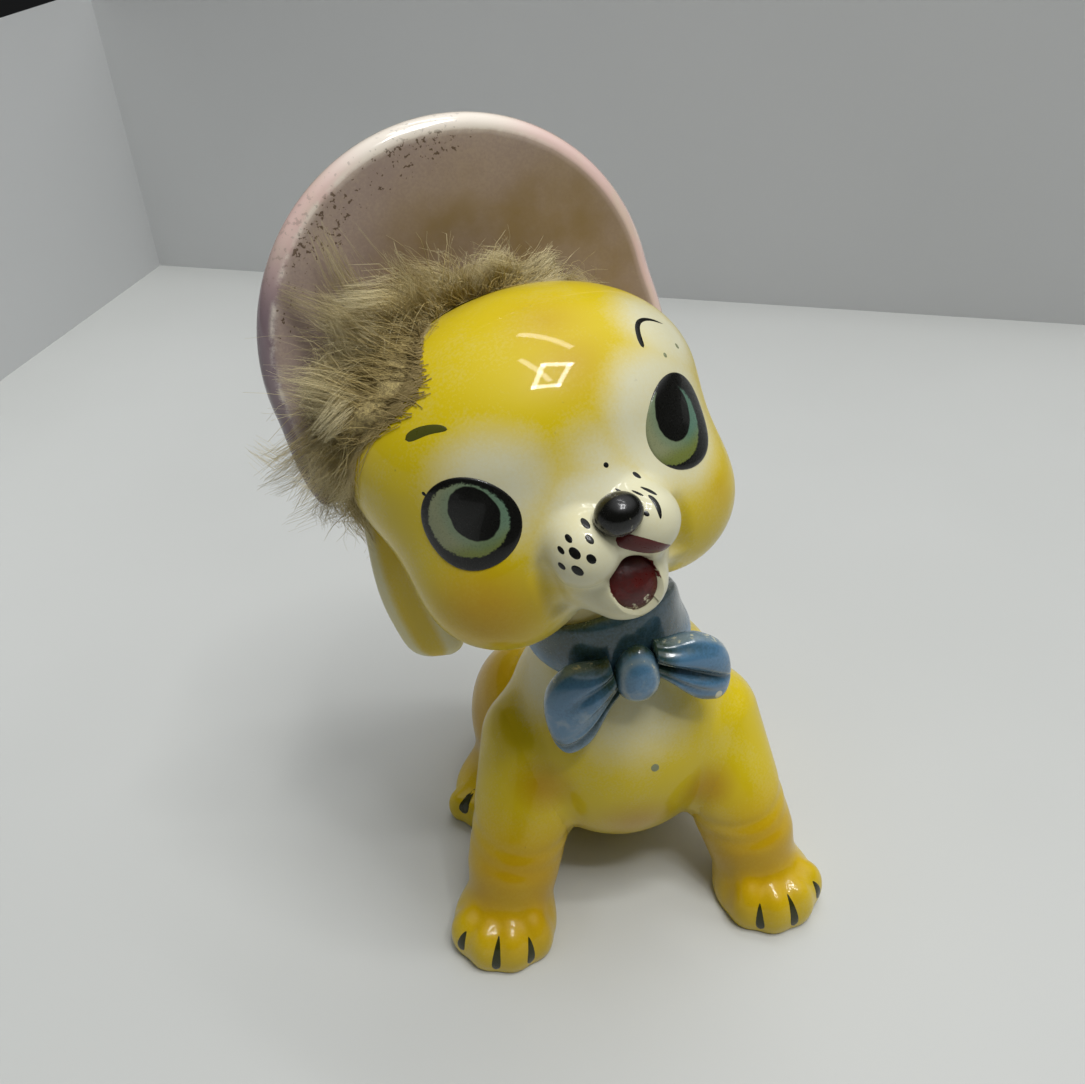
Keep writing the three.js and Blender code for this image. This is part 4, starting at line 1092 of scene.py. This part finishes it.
class PUPPY_OT_ribbon(bpy.types.Operator):
    """Neck ribbon, bow loops with their folds, and the knot"""

    bl_idname = "puppy.ribbon"
    bl_label = "Ribbon and Bow"

    def execute(self, context):
        material = ribbon_glaze(context.scene.puppy_paint)
        self.add_ribbon(material)
        skin, out = ribbon_reach(np.array([KNOT["around"]]), np.zeros(1))
        proud = RIBBON["thickness"] + KNOT["proud"]
        knot = (skin + out * proud)[0] - np.array((0, 0, KNOT["drop"]))
        self.add_knot(knot, material)
        for name, loop in LOOPS.items():
            self.add_loop(name, loop, knot, material)
        return {"FINISHED"}

    def add_ribbon(self, material):
        """A band that hugs the neck: a flat rounded section, higher at the throat, with folds."""
        steps, sides, squareness = 220, 44, 0.5
        fold_count, fold_depth, fan_slope, inner_share = 9, 0.14, 0.2, 0.45
        degrees = np.linspace(0, 360, steps, endpoint=False)[:, None]
        turn = full_turn(sides)[None]
        throat = np.maximum(0, np.cos(np.radians(degrees - THROAT["around"])))
        across = signed_power(np.sin(turn), squareness)
        above = RIBBON["above"] + THROAT["rise"] * throat
        height = np.where(across > 0, above, RIBBON["below"]) * across
        skin, out = ribbon_reach(degrees, height)
        fan = np.arctan2(height + RIBBON["below"], fan_slope * (degrees - KNOT["around"]))
        folds = np.sin(fold_count * fan) * throat
        section = inner_share + (1 - inner_share) * signed_power(np.cos(turn), squareness)
        grid = skin + out * (RIBBON["thickness"] * section * (1 + fold_depth * folds))[..., None]
        edge = smooth(0.86, 1.0, np.abs(across)) * np.ones_like(degrees)
        # Painted shade: the band's upper part darkens under the jaw, striped by the folds; its edges take a
        # painted highlight and wear
        shade = (0.86 - 0.2 * folds) * smooth(-0.9, 0.3, across)
        masks = {"pooling_and_shade": shade, "ridge": 0.6 * edge}
        add_grid("neck_ribbon", grid, material, "ribbon_glaze", masks, ring=True)

    def add_knot(self, knot, material):
        """An egg: an ellipsoid whose level sections are scaled by 1 - taper z / r, z up from its middle."""
        taper = 0.22
        radii = np.array(KNOT["radii"])

        def egg(points):
            scale = 1 - taper * (points[..., 2:] - knot[2]) / radii[2]
            squeeze = np.concatenate([1 / scale, 1 / scale, np.ones_like(scale)], -1)
            return ellipsoid(knot + (points - knot) * squeeze, knot, radii)

        grid = polar_grid(egg, knot, (0, -1, 0), rings=70, sides=90)
        away = np.linalg.norm(((grid - knot) / radii)[..., (0, 2)], axis=-1)
        # Painted shade at the knot's edge where the loops and band meet it, and a painted highlight ring
        # that also takes wear
        masks = {"pooling_and_shade": smooth(0.82, 1.0, away), "ridge": 0.7 * bell(away, 0.75, 0.1)}
        add_grid("bow_knot", grid, material, "ribbon_glaze", masks)

    def add_loop(self, name, loop, knot, material):
        """A flattened lobe that widens from the knot, with a fold along it: depth (1 - dip)."""
        rings, sides, blunt, fullness, widest = 120, 140, 9, 0.8, 0.6
        valley_depth, crease_depth, crease_waves, crest_away = 0.85, 0.22, 10, 0.28
        to = np.asarray(loop["to"], float)
        across = unit(loop["across"])
        over = unit(np.cross(to, across))
        t = np.linspace(0, 1, rings)[:, None]
        angle = full_turn(sides)[None]
        place_across, front = np.cos(angle), np.sin(angle) > 0
        from_fold = place_across - loop["fold"]
        end = np.sqrt(1 - t ** blunt)
        spread = loop["spread"] * (LOOP["pinch"] + (1 - LOOP["pinch"]) * smooth(0.0, widest, t))
        depth = LOOP["depth"] * (0.65 + 0.35 * np.sin(np.pi * t ** fullness))
        valley = bell(from_fold, 0.12 * np.sin(2 * t), 0.15) * (1 - 0.7 * t)
        crease = (0.5 - 0.5 * np.cos(crease_waves * from_fold)) ** 2 * smooth(0.95, 0.2, t)
        dip = np.where(front, valley_depth * valley + crease_depth * crease, 0.0)
        u = spread * end * place_across
        v = depth * end * signed_power(np.sin(angle), fullness) * (1 - dip)
        middle = knot + np.asarray(loop["from"]) + t * to
        grid = swept_grid(middle, np.tile(across, (rings, 1)), np.tile(over, (rings, 1)), u, v)
        # Ridges along the crests and edges take a painted highlight and wear; the fold, the creases and the
        # end at the knot take pooled glaze and painted shade
        crest = bell(from_fold, crest_away, 0.09) + bell(from_fold, -crest_away, 0.07)
        rim = smooth(0.93, 1.0, np.abs(place_across)) + smooth(0.94, 1.0, t)
        ridge = np.clip(0.85 * crest * front * (1 - 0.8 * t) + 0.7 * rim, 0, 1)
        pooling_and_shade = np.clip(1.1 * valley * front + 0.8 * smooth(0.3, 0.05, t) + 0.35 * crease, 0, 1)
        masks = {"pooling_and_shade": pooling_and_shade, "ridge": ridge}
        if "chip" in loop:
            along, beside = loop["chip"]
            masks["chip"] = bell(t, along, 0.06) * bell(place_across, beside, 0.2) * front
        add_grid(f"bow_loop_{name}", grid, material, "ribbon_glaze", masks, capped=True)


def stroke(field, middle, turn, stations, half_width, height, start=1.0, end=1.0, blunt=2.0):
    """A brush stroke on a field: a flat lens carried along stations given in degrees round and up.

    The stations are joined by a smooth curve. The width runs from the start share to the end share along it
    and is rounded off by a power at both ends. The section is a lens that stands a little proud of the
    surface and is sunk at its edges.
    """
    lines, around, under, sunk = 24, 12, 0.15, 0.02
    stations = np.asarray(stations, float)
    t = np.linspace(0, 1, lines)
    knots = np.linspace(0, 1, len(stations))
    order = min(len(stations) - 1, 3)
    path = np.stack([np.polyval(np.polyfit(knots, stations[:, k], order), t) for k in range(2)], -1)
    squeeze = np.cos(np.radians(path[:, 1]))
    ahead = np.gradient(path, axis=0)
    ahead[:, 0] *= squeeze
    ahead = unit(ahead)
    aside = np.stack([-ahead[:, 1] / squeeze, ahead[:, 0]], -1)
    ends = np.sqrt(np.maximum(0, 1 - np.abs(2 * t - 1) ** blunt))
    width = half_width * (ends * (start + (end - start) * t))[:, None]
    angle = full_turn(around)[None]
    degrees = path[:, None] + aside[:, None] * (width * np.cos(angle))[..., None]
    directions = angles_to_directions(degrees[..., 0], degrees[..., 1]) @ np.asarray(turn).T
    surface = reach(field, np.asarray(middle, float), directions)
    lift = np.where(np.sin(angle) > 0, height, under) * np.sin(angle) - sunk
    return np.asarray(middle) + directions * (surface + lift)[..., None]


def joined(grids):
    """Several capped grids of one size as one set of points and faces."""
    points = np.concatenate([grid.reshape(-1, 3) for grid in grids])
    faces = []
    for number, grid in enumerate(grids):
        start = number * grid.shape[0] * grid.shape[1]
        faces += [[start + corner for corner in face] for face in grid_faces(*grid.shape[:2], capped=True)]
    return points, faces


# Painted marks of the face, in degrees round and up from the middle of the head
RIGHT_BROW = ((-60, 38.0), (-51, 39.9), (-43.0, 39.2))
LEFT_BROW = ((46.3, 36.0), (50.5, 40.2), (58.0, 41.4), (67.5, 35.3))
STREAK = ((13.1, -2.4), (13.4, -5.0), (12.0, -9.2))
LIP_RED = ((-2.4, -10.6), (3.0, -14.2), (8.5, -17.9), (15.4, -21.2))
FRECKLES = (
    (7.9, 12.0, 1.1, 1.1), (17.4, 3.2, 1.1, 1.7), (7.6, 1.2, 0.6, 2.0), (11.3, -0.8, 0.5, 1.3),
    (14.9, -1.7, 0.7, 2.0), (-9.1, -1.8, 1.1, 1.6), (-15.8, -3.4, 1.0, 1.2), (-10.1, -5.6, 1.0, 1.5),
    (-19.3, -5.8, 0.9, 1.2), (-15.7, -7.4, 1.5, 1.9), (-11.9, -10.5, 1.3, 1.7), (-20.9, -10.3, 0.9, 1.3),
    (-16.9, -12.5, 1.4, 2.1), (9.0, -6.2, 0.8, 0.9), (-57.6, 22.6, 0.6, 0.7),
)
BLEMISHES = ((64.5, 28.3, 0.8, 1.0), (53.8, 29.8, 0.8, 0.8))
CHEST_BLEMISH = ((5.4, 15.0), (8.6, 15.8))
FRECKLE_SLANT = (0.45, -0.9)
MARK_HEIGHT, TOE_LINE_HEIGHT = 0.06, 0.08
# Toe lines in degrees round and up from the middle of the foot, from the top down to the sole
FRONT_TOE_LINES = (((41, 30), (43, 4)), ((-2, 38), (2, -4)), ((-38, 30), (-34, -4)))
HIND_TOE_LINES = (((20, 42), (25, 10)), ((-4, 42), (3, 4)))
TOE_LINE_PROFILE = (0.35, 1.3, 3.0)
TOE_LINE_TONE = 0.4


class PUPPY_OT_brushwork(bpy.types.Operator):
    """Brows, freckles, lip and toe lines, brushed on the glaze"""

    bl_idname = "puppy.brushwork"
    bl_label = "Brushwork"

    def execute(self, context):
        paint = context.scene.puppy_paint
        black = brush_paint("brushed_black", paint.black, paint)
        olive = brush_paint("brushed_olive", paint.olive, paint)
        red = brush_paint("brushed_red", paint.red, paint)
        grey = brush_paint("pinhole_grey", paint.iris_pale, paint)
        dark = brush_paint("brushed_toes", tuple(TOE_LINE_TONE * np.array(paint.olive)), paint)
        upright = np.eye(3)

        def on_head(stations, half_width, *profile):
            marked = stroke(head_field, HEAD_MIDDLE, upright, stations, half_width, MARK_HEIGHT, *profile)
            return head_to_body(marked)

        def freckle(azimuth, lift, half_width, half_length):
            at, slant = np.array((azimuth, lift)), np.array(FRECKLE_SLANT) * half_length
            return on_head((at - slant, at + slant), half_width)

        marks = [freckle(*mark) for mark in FRECKLES]
        marks += [on_head(STREAK, 0.9), on_head(LEFT_BROW, 1.25, 1.0, 0.4, 6.0)]
        brow = on_head(RIGHT_BROW, 2.0, 1.0, 0.55, 4.0)
        spots = [freckle(*mark) for mark in BLEMISHES]
        spots.append(stroke(body_field, BODY_MIDDLE, upright, CHEST_BLEMISH, 2.0, MARK_HEIGHT))
        add_piece("puppy_freckles", *joined(marks), black, "nose_glaze")
        add_piece("puppy_brow_right", *joined([brow]), olive, "nose_glaze")
        add_piece("puppy_lip", *joined([on_head(LIP_RED, 3.5, 1.1, 0.6)]), red, "mouth_glaze")
        add_piece("puppy_blemishes", *joined(spots), grey, "body_glaze")
        feet = (
            ("front", front_leg_field, PAW, PAW_TURN, FRONT_TOE_LINES, 4.8),
            ("hind", hind_leg_field, HIND_FOOT, HIND_FOOT_TURN, HIND_TOE_LINES, 7.0),
        )
        for name, side in SIDES.items():
            for end, field, foot, turn, lines, half_width in feet:
                strokes = [
                    stroke(
                        lambda p: field(p, side), mirrored(foot, side)[0], turn_about("z", turn * side),
                        np.multiply(line, (side, 1)), half_width, TOE_LINE_HEIGHT, *TOE_LINE_PROFILE)
                    for line in lines
                ]
                add_piece(f"puppy_toe_lines_{end}_{name}", *joined(strokes), dark, "nose_glaze")
        return {"FINISHED"}


# Bands of degrees round the brim, over which the fur changes
TEMPLE, FUR_END, LEFT_SIDE = (-34, -76), (-84, -106), (30, 70)


def hair_line(degrees):
    """How far the fur comes forward from the brim: narrow over the top, broad on the right temple."""
    strip, temple, end, left = 4.5, 15, 12, 2
    line = strip + temple * smooth(*TEMPLE, degrees) - end * smooth(*FUR_END, degrees)
    return line - left * smooth(*LEFT_SIDE, degrees)


def head_radius(degrees, forward):
    """Radius round the brim's axis of the head's skin, at a distance in front of the brim."""
    angle = np.radians(degrees)
    start = brim_to_head(np.stack(np.broadcast_arrays(0 * angle, -forward, 0 * angle), -1))
    outward = np.stack(np.broadcast_arrays(np.sin(angle), 0 * forward, np.cos(angle)), -1) @ BRIM_TURN.T
    return reach(head_field, start, outward, limit=FUR_SEARCH)


# Bunches of hairs, named as the picture shows them: first and last degree, and share of a full bunch
BUNCHES = {
    "low": (-118, -94, 0.35), "side": (-100, -76, 0.8), "temple": (-82, -56, 1.0),
    "crown": (-62, -26, 1.0), "top": (-32, 12, 0.5), "right": (4, 84, 0.9),
}


class PUPPY_OT_fur(bpy.types.Operator):
    """Fur trim: felted under-hair and bunches of combed hairs"""

    bl_idname = "puppy.fur"
    bl_label = "Fur Trim"

    def execute(self, context):
        paint, fur = context.scene.puppy_paint, context.scene.puppy_fur
        self.add_undercoat(undercoat_material(paint))
        hair = hair_material(paint)
        rng = np.random.default_rng(fur.seed)
        for name, (first, last, share) in BUNCHES.items():
            self.add_hairs(name, first, last, int(fur.count * share), fur, rng, hair)
        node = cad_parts["fur_hide"]
        node.data.materials.clear()
        node.data.materials.append(hide_material(paint))
        return {"FINISHED"}

    def add_undercoat(self, material):
        """A lumpy pad on the head's skin, from the brim to the hair line: a lens section with waves."""
        rings, sides, blunt, under, behind, covered = 220, 48, 12, 0.6, 0.5, 0.9
        degrees = np.linspace(-FUR_REACH, FUR_REACH, rings)[:, None]
        angle = np.radians(degrees)
        turn = full_turn(sides)[None]
        lumps = 1 + 0.22 * np.sin(17 * angle + 2 * turn) + 0.16 * np.sin(41 * angle - 3 * turn)
        ends = np.sqrt(1 - np.abs(np.linspace(-1, 1, rings)) ** blunt)[:, None]
        thick = (0.6 + 2.0 * smooth(0, -40, degrees) - 1.8 * smooth(-84, -104, degrees)) * ends * lumps
        forward = covered * hair_line(degrees) * (0.5 + 0.5 * np.cos(turn)) * (0.8 + 0.2 * ends) - behind
        lift = np.where(np.sin(turn) > 0, thick, under) * np.sin(turn)
        radius = head_radius(degrees, forward) + lift
        grid = brim_to_head(np.stack([radius * np.sin(angle), -forward, radius * np.cos(angle)], -1))
        faces = grid_faces(rings, sides, capped=True)
        add_piece("puppy_fur_undercoat", head_to_body(grid), faces, material, "fur", ["fur_pile"])

    def add_hairs(self, name, first, last, count, fur, rng, material):
        """Tapering three-sided hairs: each stands in a clump, bends over and is drawn to the clump's tip."""
        stations, sides, clump_count, taper = 8, 3, 36, 0.8
        clump_wild, hair_wild, clump_wave, hair_wave, stray_wave = 0.3, 0.16, 3.0, 0.8, 1.5
        stray_share, stray_draw, any_way = 0.16, 0.1, (0.31, 0.87, 0.38)
        s = np.linspace(0, 1, stations)[None, :, None]
        clump_degrees = rng.uniform(first, last, clump_count)
        clump_forward = hair_line(clump_degrees) * rng.uniform(0.05, 1.0, clump_count)
        clumps = self.lay_hairs(clump_degrees, clump_forward, s, fur, rng, clump_wild)
        wave = rng.uniform(0, 2 * np.pi, (clump_count, 1, 3)) + rng.uniform(4, 8, (clump_count, 1, 1)) * s
        clumps = clumps + clump_wave * s * np.sin(wave)
        owner = rng.integers(0, clump_count, count)
        stray = rng.random((count, 1, 1)) < stray_share
        degrees = clump_degrees[owner] + rng.normal(0, 3.4, count)
        forward = np.clip(clump_forward[owner] + rng.normal(0, 1.3, count), 0.2, None)
        forward = np.minimum(forward, hair_line(degrees) * rng.uniform(0.85, 1.12, count))
        curves = self.lay_hairs(degrees, forward, s, fur, rng, hair_wild)
        draw = np.where(stray, stray_draw, rng.uniform(0.55, 0.95, (count, 1, 1))) * s
        curves = curves + draw * (clumps[owner] - curves)
        wave = rng.uniform(0, 2 * np.pi, (count, 1, 3)) + rng.uniform(2, 6, (count, 1, 1)) * s
        curves = curves + np.where(stray, stray_wave, hair_wave) * s * np.sin(wave)
        curves = self.clear_of_neighbours(brim_to_head(curves))
        radius = fur.thickness / MM * (1 - taper * s) * rng.uniform(0.7, 1.25, (count, 1, 1))
        ahead = unit(np.gradient(curves, axis=1))
        aside = unit(np.cross(ahead, any_way))
        turn = full_turn(sides)[None, None, :, None]
        around = aside[:, :, None] * np.cos(turn) + np.cross(ahead, aside)[:, :, None] * np.sin(turn)
        points = head_to_body((curves[:, :, None] + radius[..., None] * around).reshape(-1, 3))
        steps = np.arange(count), np.arange(stations - 1), np.arange(sides)
        i, j, k = np.meshgrid(*steps, indexing="ij")
        start = (i * stations + j) * sides
        ahead_of, beside = start + sides, (k + 1) % sides
        quads = np.stack([start + k, ahead_of + k, ahead_of + beside, start + beside], -1).reshape(-1, 4)
        root = np.arange(count)[:, None] * stations * sides + np.arange(sides)[None]
        caps = np.concatenate([root, root[:, ::-1] + (stations - 1) * sides])
        clump_tone = rng.uniform(0, 0.8, clump_count)[owner][:, None, None]
        tone = np.clip(clump_tone + rng.normal(0.10, 0.18, (count, 1, 1)), 0, 1)
        masks = {
            "tone": np.broadcast_to(tone, (count, stations, sides)),
            "along": np.broadcast_to(s, (count, stations, sides)),
        }
        faces = quads.tolist() + caps.tolist()
        add_piece(f"puppy_fur_{name}", points, faces, material, "fur", masks=masks, weld=False)

    def lay_hairs(self, degrees, forward, s, fur, rng, wild):
        """Hair curves in the brim's frame: root + length (heading s + bend s s), s from 0 to 1 along them.

        The heading leans outwards and is combed round the brim, away from a parting on the left of the top,
        and so down on both sides. Hairs rooted further forward lean back to the brim, those at the lower
        right end hang, and the longest ones are on the right temple. The bend carries all of them back and
        down. Wildness adds chance to heading and bend.
        """
        n = len(degrees)
        angle = np.radians(degrees)
        radial = np.stack([np.sin(angle), 0 * angle, np.cos(angle)], -1)
        tangent = np.stack([np.cos(angle), 0 * angle, -np.sin(angle)], -1)
        front = np.broadcast_to((0.0, -1.0, 0.0), (n, 3))
        down = np.broadcast_to((0.0, 0.0, -1.0), (n, 3))
        left = smooth(10, 48, degrees)[:, None]
        side = smooth(-30, -75, degrees)[:, None]
        low = smooth(-92, -114, degrees)[:, None]
        sunk, bending, chance = 0.3, 0.45, 2.4
        root = radial * (head_radius(degrees, forward) - sunk)[:, None] + front * forward[:, None]
        longest = 0.4 + 0.36 * smooth(-8, -36, degrees) - 0.26 * smooth(-84, -104, degrees)
        share = rng.uniform(0.4, 1.0, (n, 1)) * longest[:, None]
        comb = 0.5 * rng.normal(size=(n, 1)) - 0.65 * (1 - left) + 0.6 * left
        heading = 0.6 * radial + (0.2 - 0.05 * forward[:, None]) * front + comb * tangent
        heading = unit(heading + low * 0.25 * down + wild * rng.normal(size=(n, 3)))
        bend = (-0.45 - 0.30 * side) * front + (0.1 + 0.1 * side) * down
        bend = bend + chance * wild * rng.normal(size=(n, 3))
        length = fur.length / MM * share[:, None]
        return root[:, None] + length * (heading[:, None] * s + bending * bend[:, None] * s * s)

    def clear_of_neighbours(self, points):
        """Pushes points out of the head, along its slope, and out of the brim, along its axis."""
        step, spare = 0.05, 0.15
        depth = head_field(points)
        slope = unit(np.stack([head_field(points + step * axis) - depth for axis in np.eye(3)], -1))
        local = head_to_brim(points + slope * np.maximum(0, spare - depth)[..., None])
        radius = np.hypot(local[..., 0], local[..., 2])
        face = brim_front(np.minimum(radius, BRIM["radius"])) - spare
        covered = radius < BRIM["radius"]
        local[..., 1] = np.where(covered, np.minimum(local[..., 1], face), local[..., 1])
        return brim_to_head(local)


class PUPPY_OT_stage(bpy.types.Operator):
    """Pale floor with two low walls, lamps, a soft sky and the camera"""

    bl_idname = "puppy.stage"
    bl_label = "Stage"

    def execute(self, context):
        stage = context.scene.puppy_stage
        self.add_floor(stage)
        self.add_lamps(context, stage)
        self.add_sky(context, stage)
        self.add_camera(context)
        return {"FINISHED"}

    def add_floor(self, stage):
        """A floor and two walls that stand on it, square to each other, behind the puppy."""
        corner, heading, length, height = (-0.127, 0.293, 0.0), -22.4, 1.6, 0.10
        along, beside = (turn_about("z", heading)[:, :2] * (length, -length)).T
        up = np.array((0.0, 0.0, height))
        ground = np.asarray(corner) + np.stack([0 * up, beside, along + beside, along])
        points = np.concatenate([ground, ground[[0, 1, 3]] + up])
        mesh = bpy.data.meshes.new("floor")
        mesh.from_pydata(points.tolist(), [], [(0, 1, 2, 3), (0, 3, 6, 4), (1, 0, 4, 5)])
        mesh.materials.append(matt_paint("pale_floor", stage.floor))
        mesh.materials.append(matt_paint("pale_backdrop", stage.backdrop))
        mesh.polygons.foreach_set("material_index", (0, 1, 1))
        floor = bpy.data.objects.new("floor", mesh)
        bpy.context.scene.collection.objects.link(floor)

    def add_lamps(self, context, stage):
        """A frame of four bars and two tubes, whose glints show on the glaze."""
        middle, turn = np.array((0.19, -0.26, 0.95)), turn_about("z", -10)
        half_wide, half_long, bar_width = 0.11, 0.14, 0.045
        aside, ahead = turn[:, 0] * half_wide, turn[:, 1] * half_long
        side_size, end_size = (0.32, bar_width), (0.26, bar_width)
        lamps = [
            ("tube_back", (0.125, 0.245, 0.95), (0.37, -0.33, 0.0), (0.50, 0.05), stage.tube),
            ("tube_front", (0.065, -0.155, 1.05), (0.27, -0.41, 0.0), (0.49, 0.045), stage.tube),
        ]
        for number, sign in enumerate((-1, 1)):
            lamps.append((f"bar_side_{number}", middle + sign * aside, ahead, side_size, stage.bars))
            lamps.append((f"bar_end_{number}", middle + sign * ahead, aside, end_size, stage.bars))
        target = np.array((0.0, -0.01, 0.06))
        for name, at, along, size, power in lamps:
            data = bpy.data.lights.new(name, "AREA")
            data.shape, data.size, data.size_y, data.energy = "RECTANGLE", *size, power
            lamp = bpy.data.objects.new(name, data)
            self.aim(lamp, np.asarray(at), np.asarray(along), target)
            context.scene.collection.objects.link(lamp)

    def add_sky(self, context, stage):
        """Soft light from overhead that fades to a faint haze at the sides and below."""
        overhead, fades = (0.26, 0.08, 0.96), (0.5, 1.0)
        world = bpy.data.worlds.new("soft_light")
        world.use_nodes = True
        nodes = Nodes(world.node_tree)
        background = nodes.tree.nodes["Background"].inputs
        lit_from = {0: nodes.place("ShaderNodeTexCoord")["Generated"], 1: overhead}
        facing = nodes.place("ShaderNodeVectorMath", lit_from, operation="DOT_PRODUCT")["Value"]
        nodes.feed(background["Color"], (0.96, 0.98, 1.0, 1.0))
        nodes.feed(background["Strength"], nodes.fade(facing, *fades, stage.haze, stage.sky))
        context.scene.world = world

    def aim(self, lamp, at, along, target):
        """Stands a lamp at a place so that it shines at the target, with its length along a direction."""
        away = unit(at - target)
        length = unit(along - (along @ away) * away)
        lamp.matrix_world = self.placed(np.stack([length, np.cross(away, length), away], -1), at)

    def placed(self, turn, at):
        """A turn and a place as one matrix, in columns as Blender takes them."""
        matrix = np.eye(4)
        matrix[:3, :3], matrix[:3, 3] = turn, at
        return [tuple(column) for column in matrix.T]

    def add_camera(self, context):
        """The photograph's camera: its place, its heading from azimuth and pitch, and a small roll."""
        eye = np.array((-24.4, -143.0, 160.0)) * MM
        azimuth, pitch, roll = np.radians((-6.0, 36.0, -3.0))
        level = np.array((np.cos(azimuth), np.sin(azimuth), 0.0))
        ahead = np.array((-np.sin(azimuth), np.cos(azimuth), 0.0))
        forward = ahead * np.cos(pitch) - np.array((0.0, 0.0, np.sin(pitch)))
        rise = np.cross(level, forward)
        right = level * np.cos(roll) + rise * np.sin(roll)
        up = rise * np.cos(roll) - level * np.sin(roll)
        data = bpy.data.cameras.new("camera")
        data.sensor_width = data.lens = 36.0
        data.clip_start = 0.005
        camera = bpy.data.objects.new("camera", data)
        camera.matrix_world = self.placed(np.stack([right, up, -forward], -1), eye)
        context.scene.collection.objects.link(camera)
        context.scene.camera = camera
        context.scene.view_settings.view_transform = "Standard"


class PUPPY_PT_panel(bpy.types.Panel):
    """Lists the steps that dress the puppy"""

    bl_idname = "PUPPY_PT_panel"
    bl_label = "Pottery Puppy"
    bl_space_type = "VIEW_3D"
    bl_region_type = "UI"
    bl_category = "Puppy"

    def draw(self, context):
        for operator in OPERATORS:
            self.layout.operator(operator.bl_idname)


OPERATORS = (
    PUPPY_OT_stage, PUPPY_OT_head, PUPPY_OT_torso, PUPPY_OT_legs, PUPPY_OT_tail, PUPPY_OT_ears,
    PUPPY_OT_eyes, PUPPY_OT_nose_and_mouth, PUPPY_OT_bonnet, PUPPY_OT_ribbon, PUPPY_OT_brushwork,
    PUPPY_OT_fur,
)
SETTINGS = {"puppy_paint": PaintSettings, "puppy_fur": FurSettings, "puppy_stage": StageSettings}


def register():
    """Registers the settings, the operators and the panel."""
    for name, settings in SETTINGS.items():
        bpy.utils.register_class(settings)
        setattr(bpy.types.Scene, name, PointerProperty(type=settings))
    for operator in OPERATORS:
        bpy.utils.register_class(operator)
    bpy.utils.register_class(PUPPY_PT_panel)


def unregister():
    """Removes the panel, the operators and the settings."""
    bpy.utils.unregister_class(PUPPY_PT_panel)
    for operator in reversed(OPERATORS):
        bpy.utils.unregister_class(operator)
    for name, settings in SETTINGS.items():
        delattr(bpy.types.Scene, name)
        bpy.utils.unregister_class(settings)


def main():
    """Dresses the frame."""
    register()
    for operator in OPERATORS:
        group, name = operator.bl_idname.split(".")
        getattr(getattr(bpy.ops, group), name)()


if __name__ == "__main__":
    main()
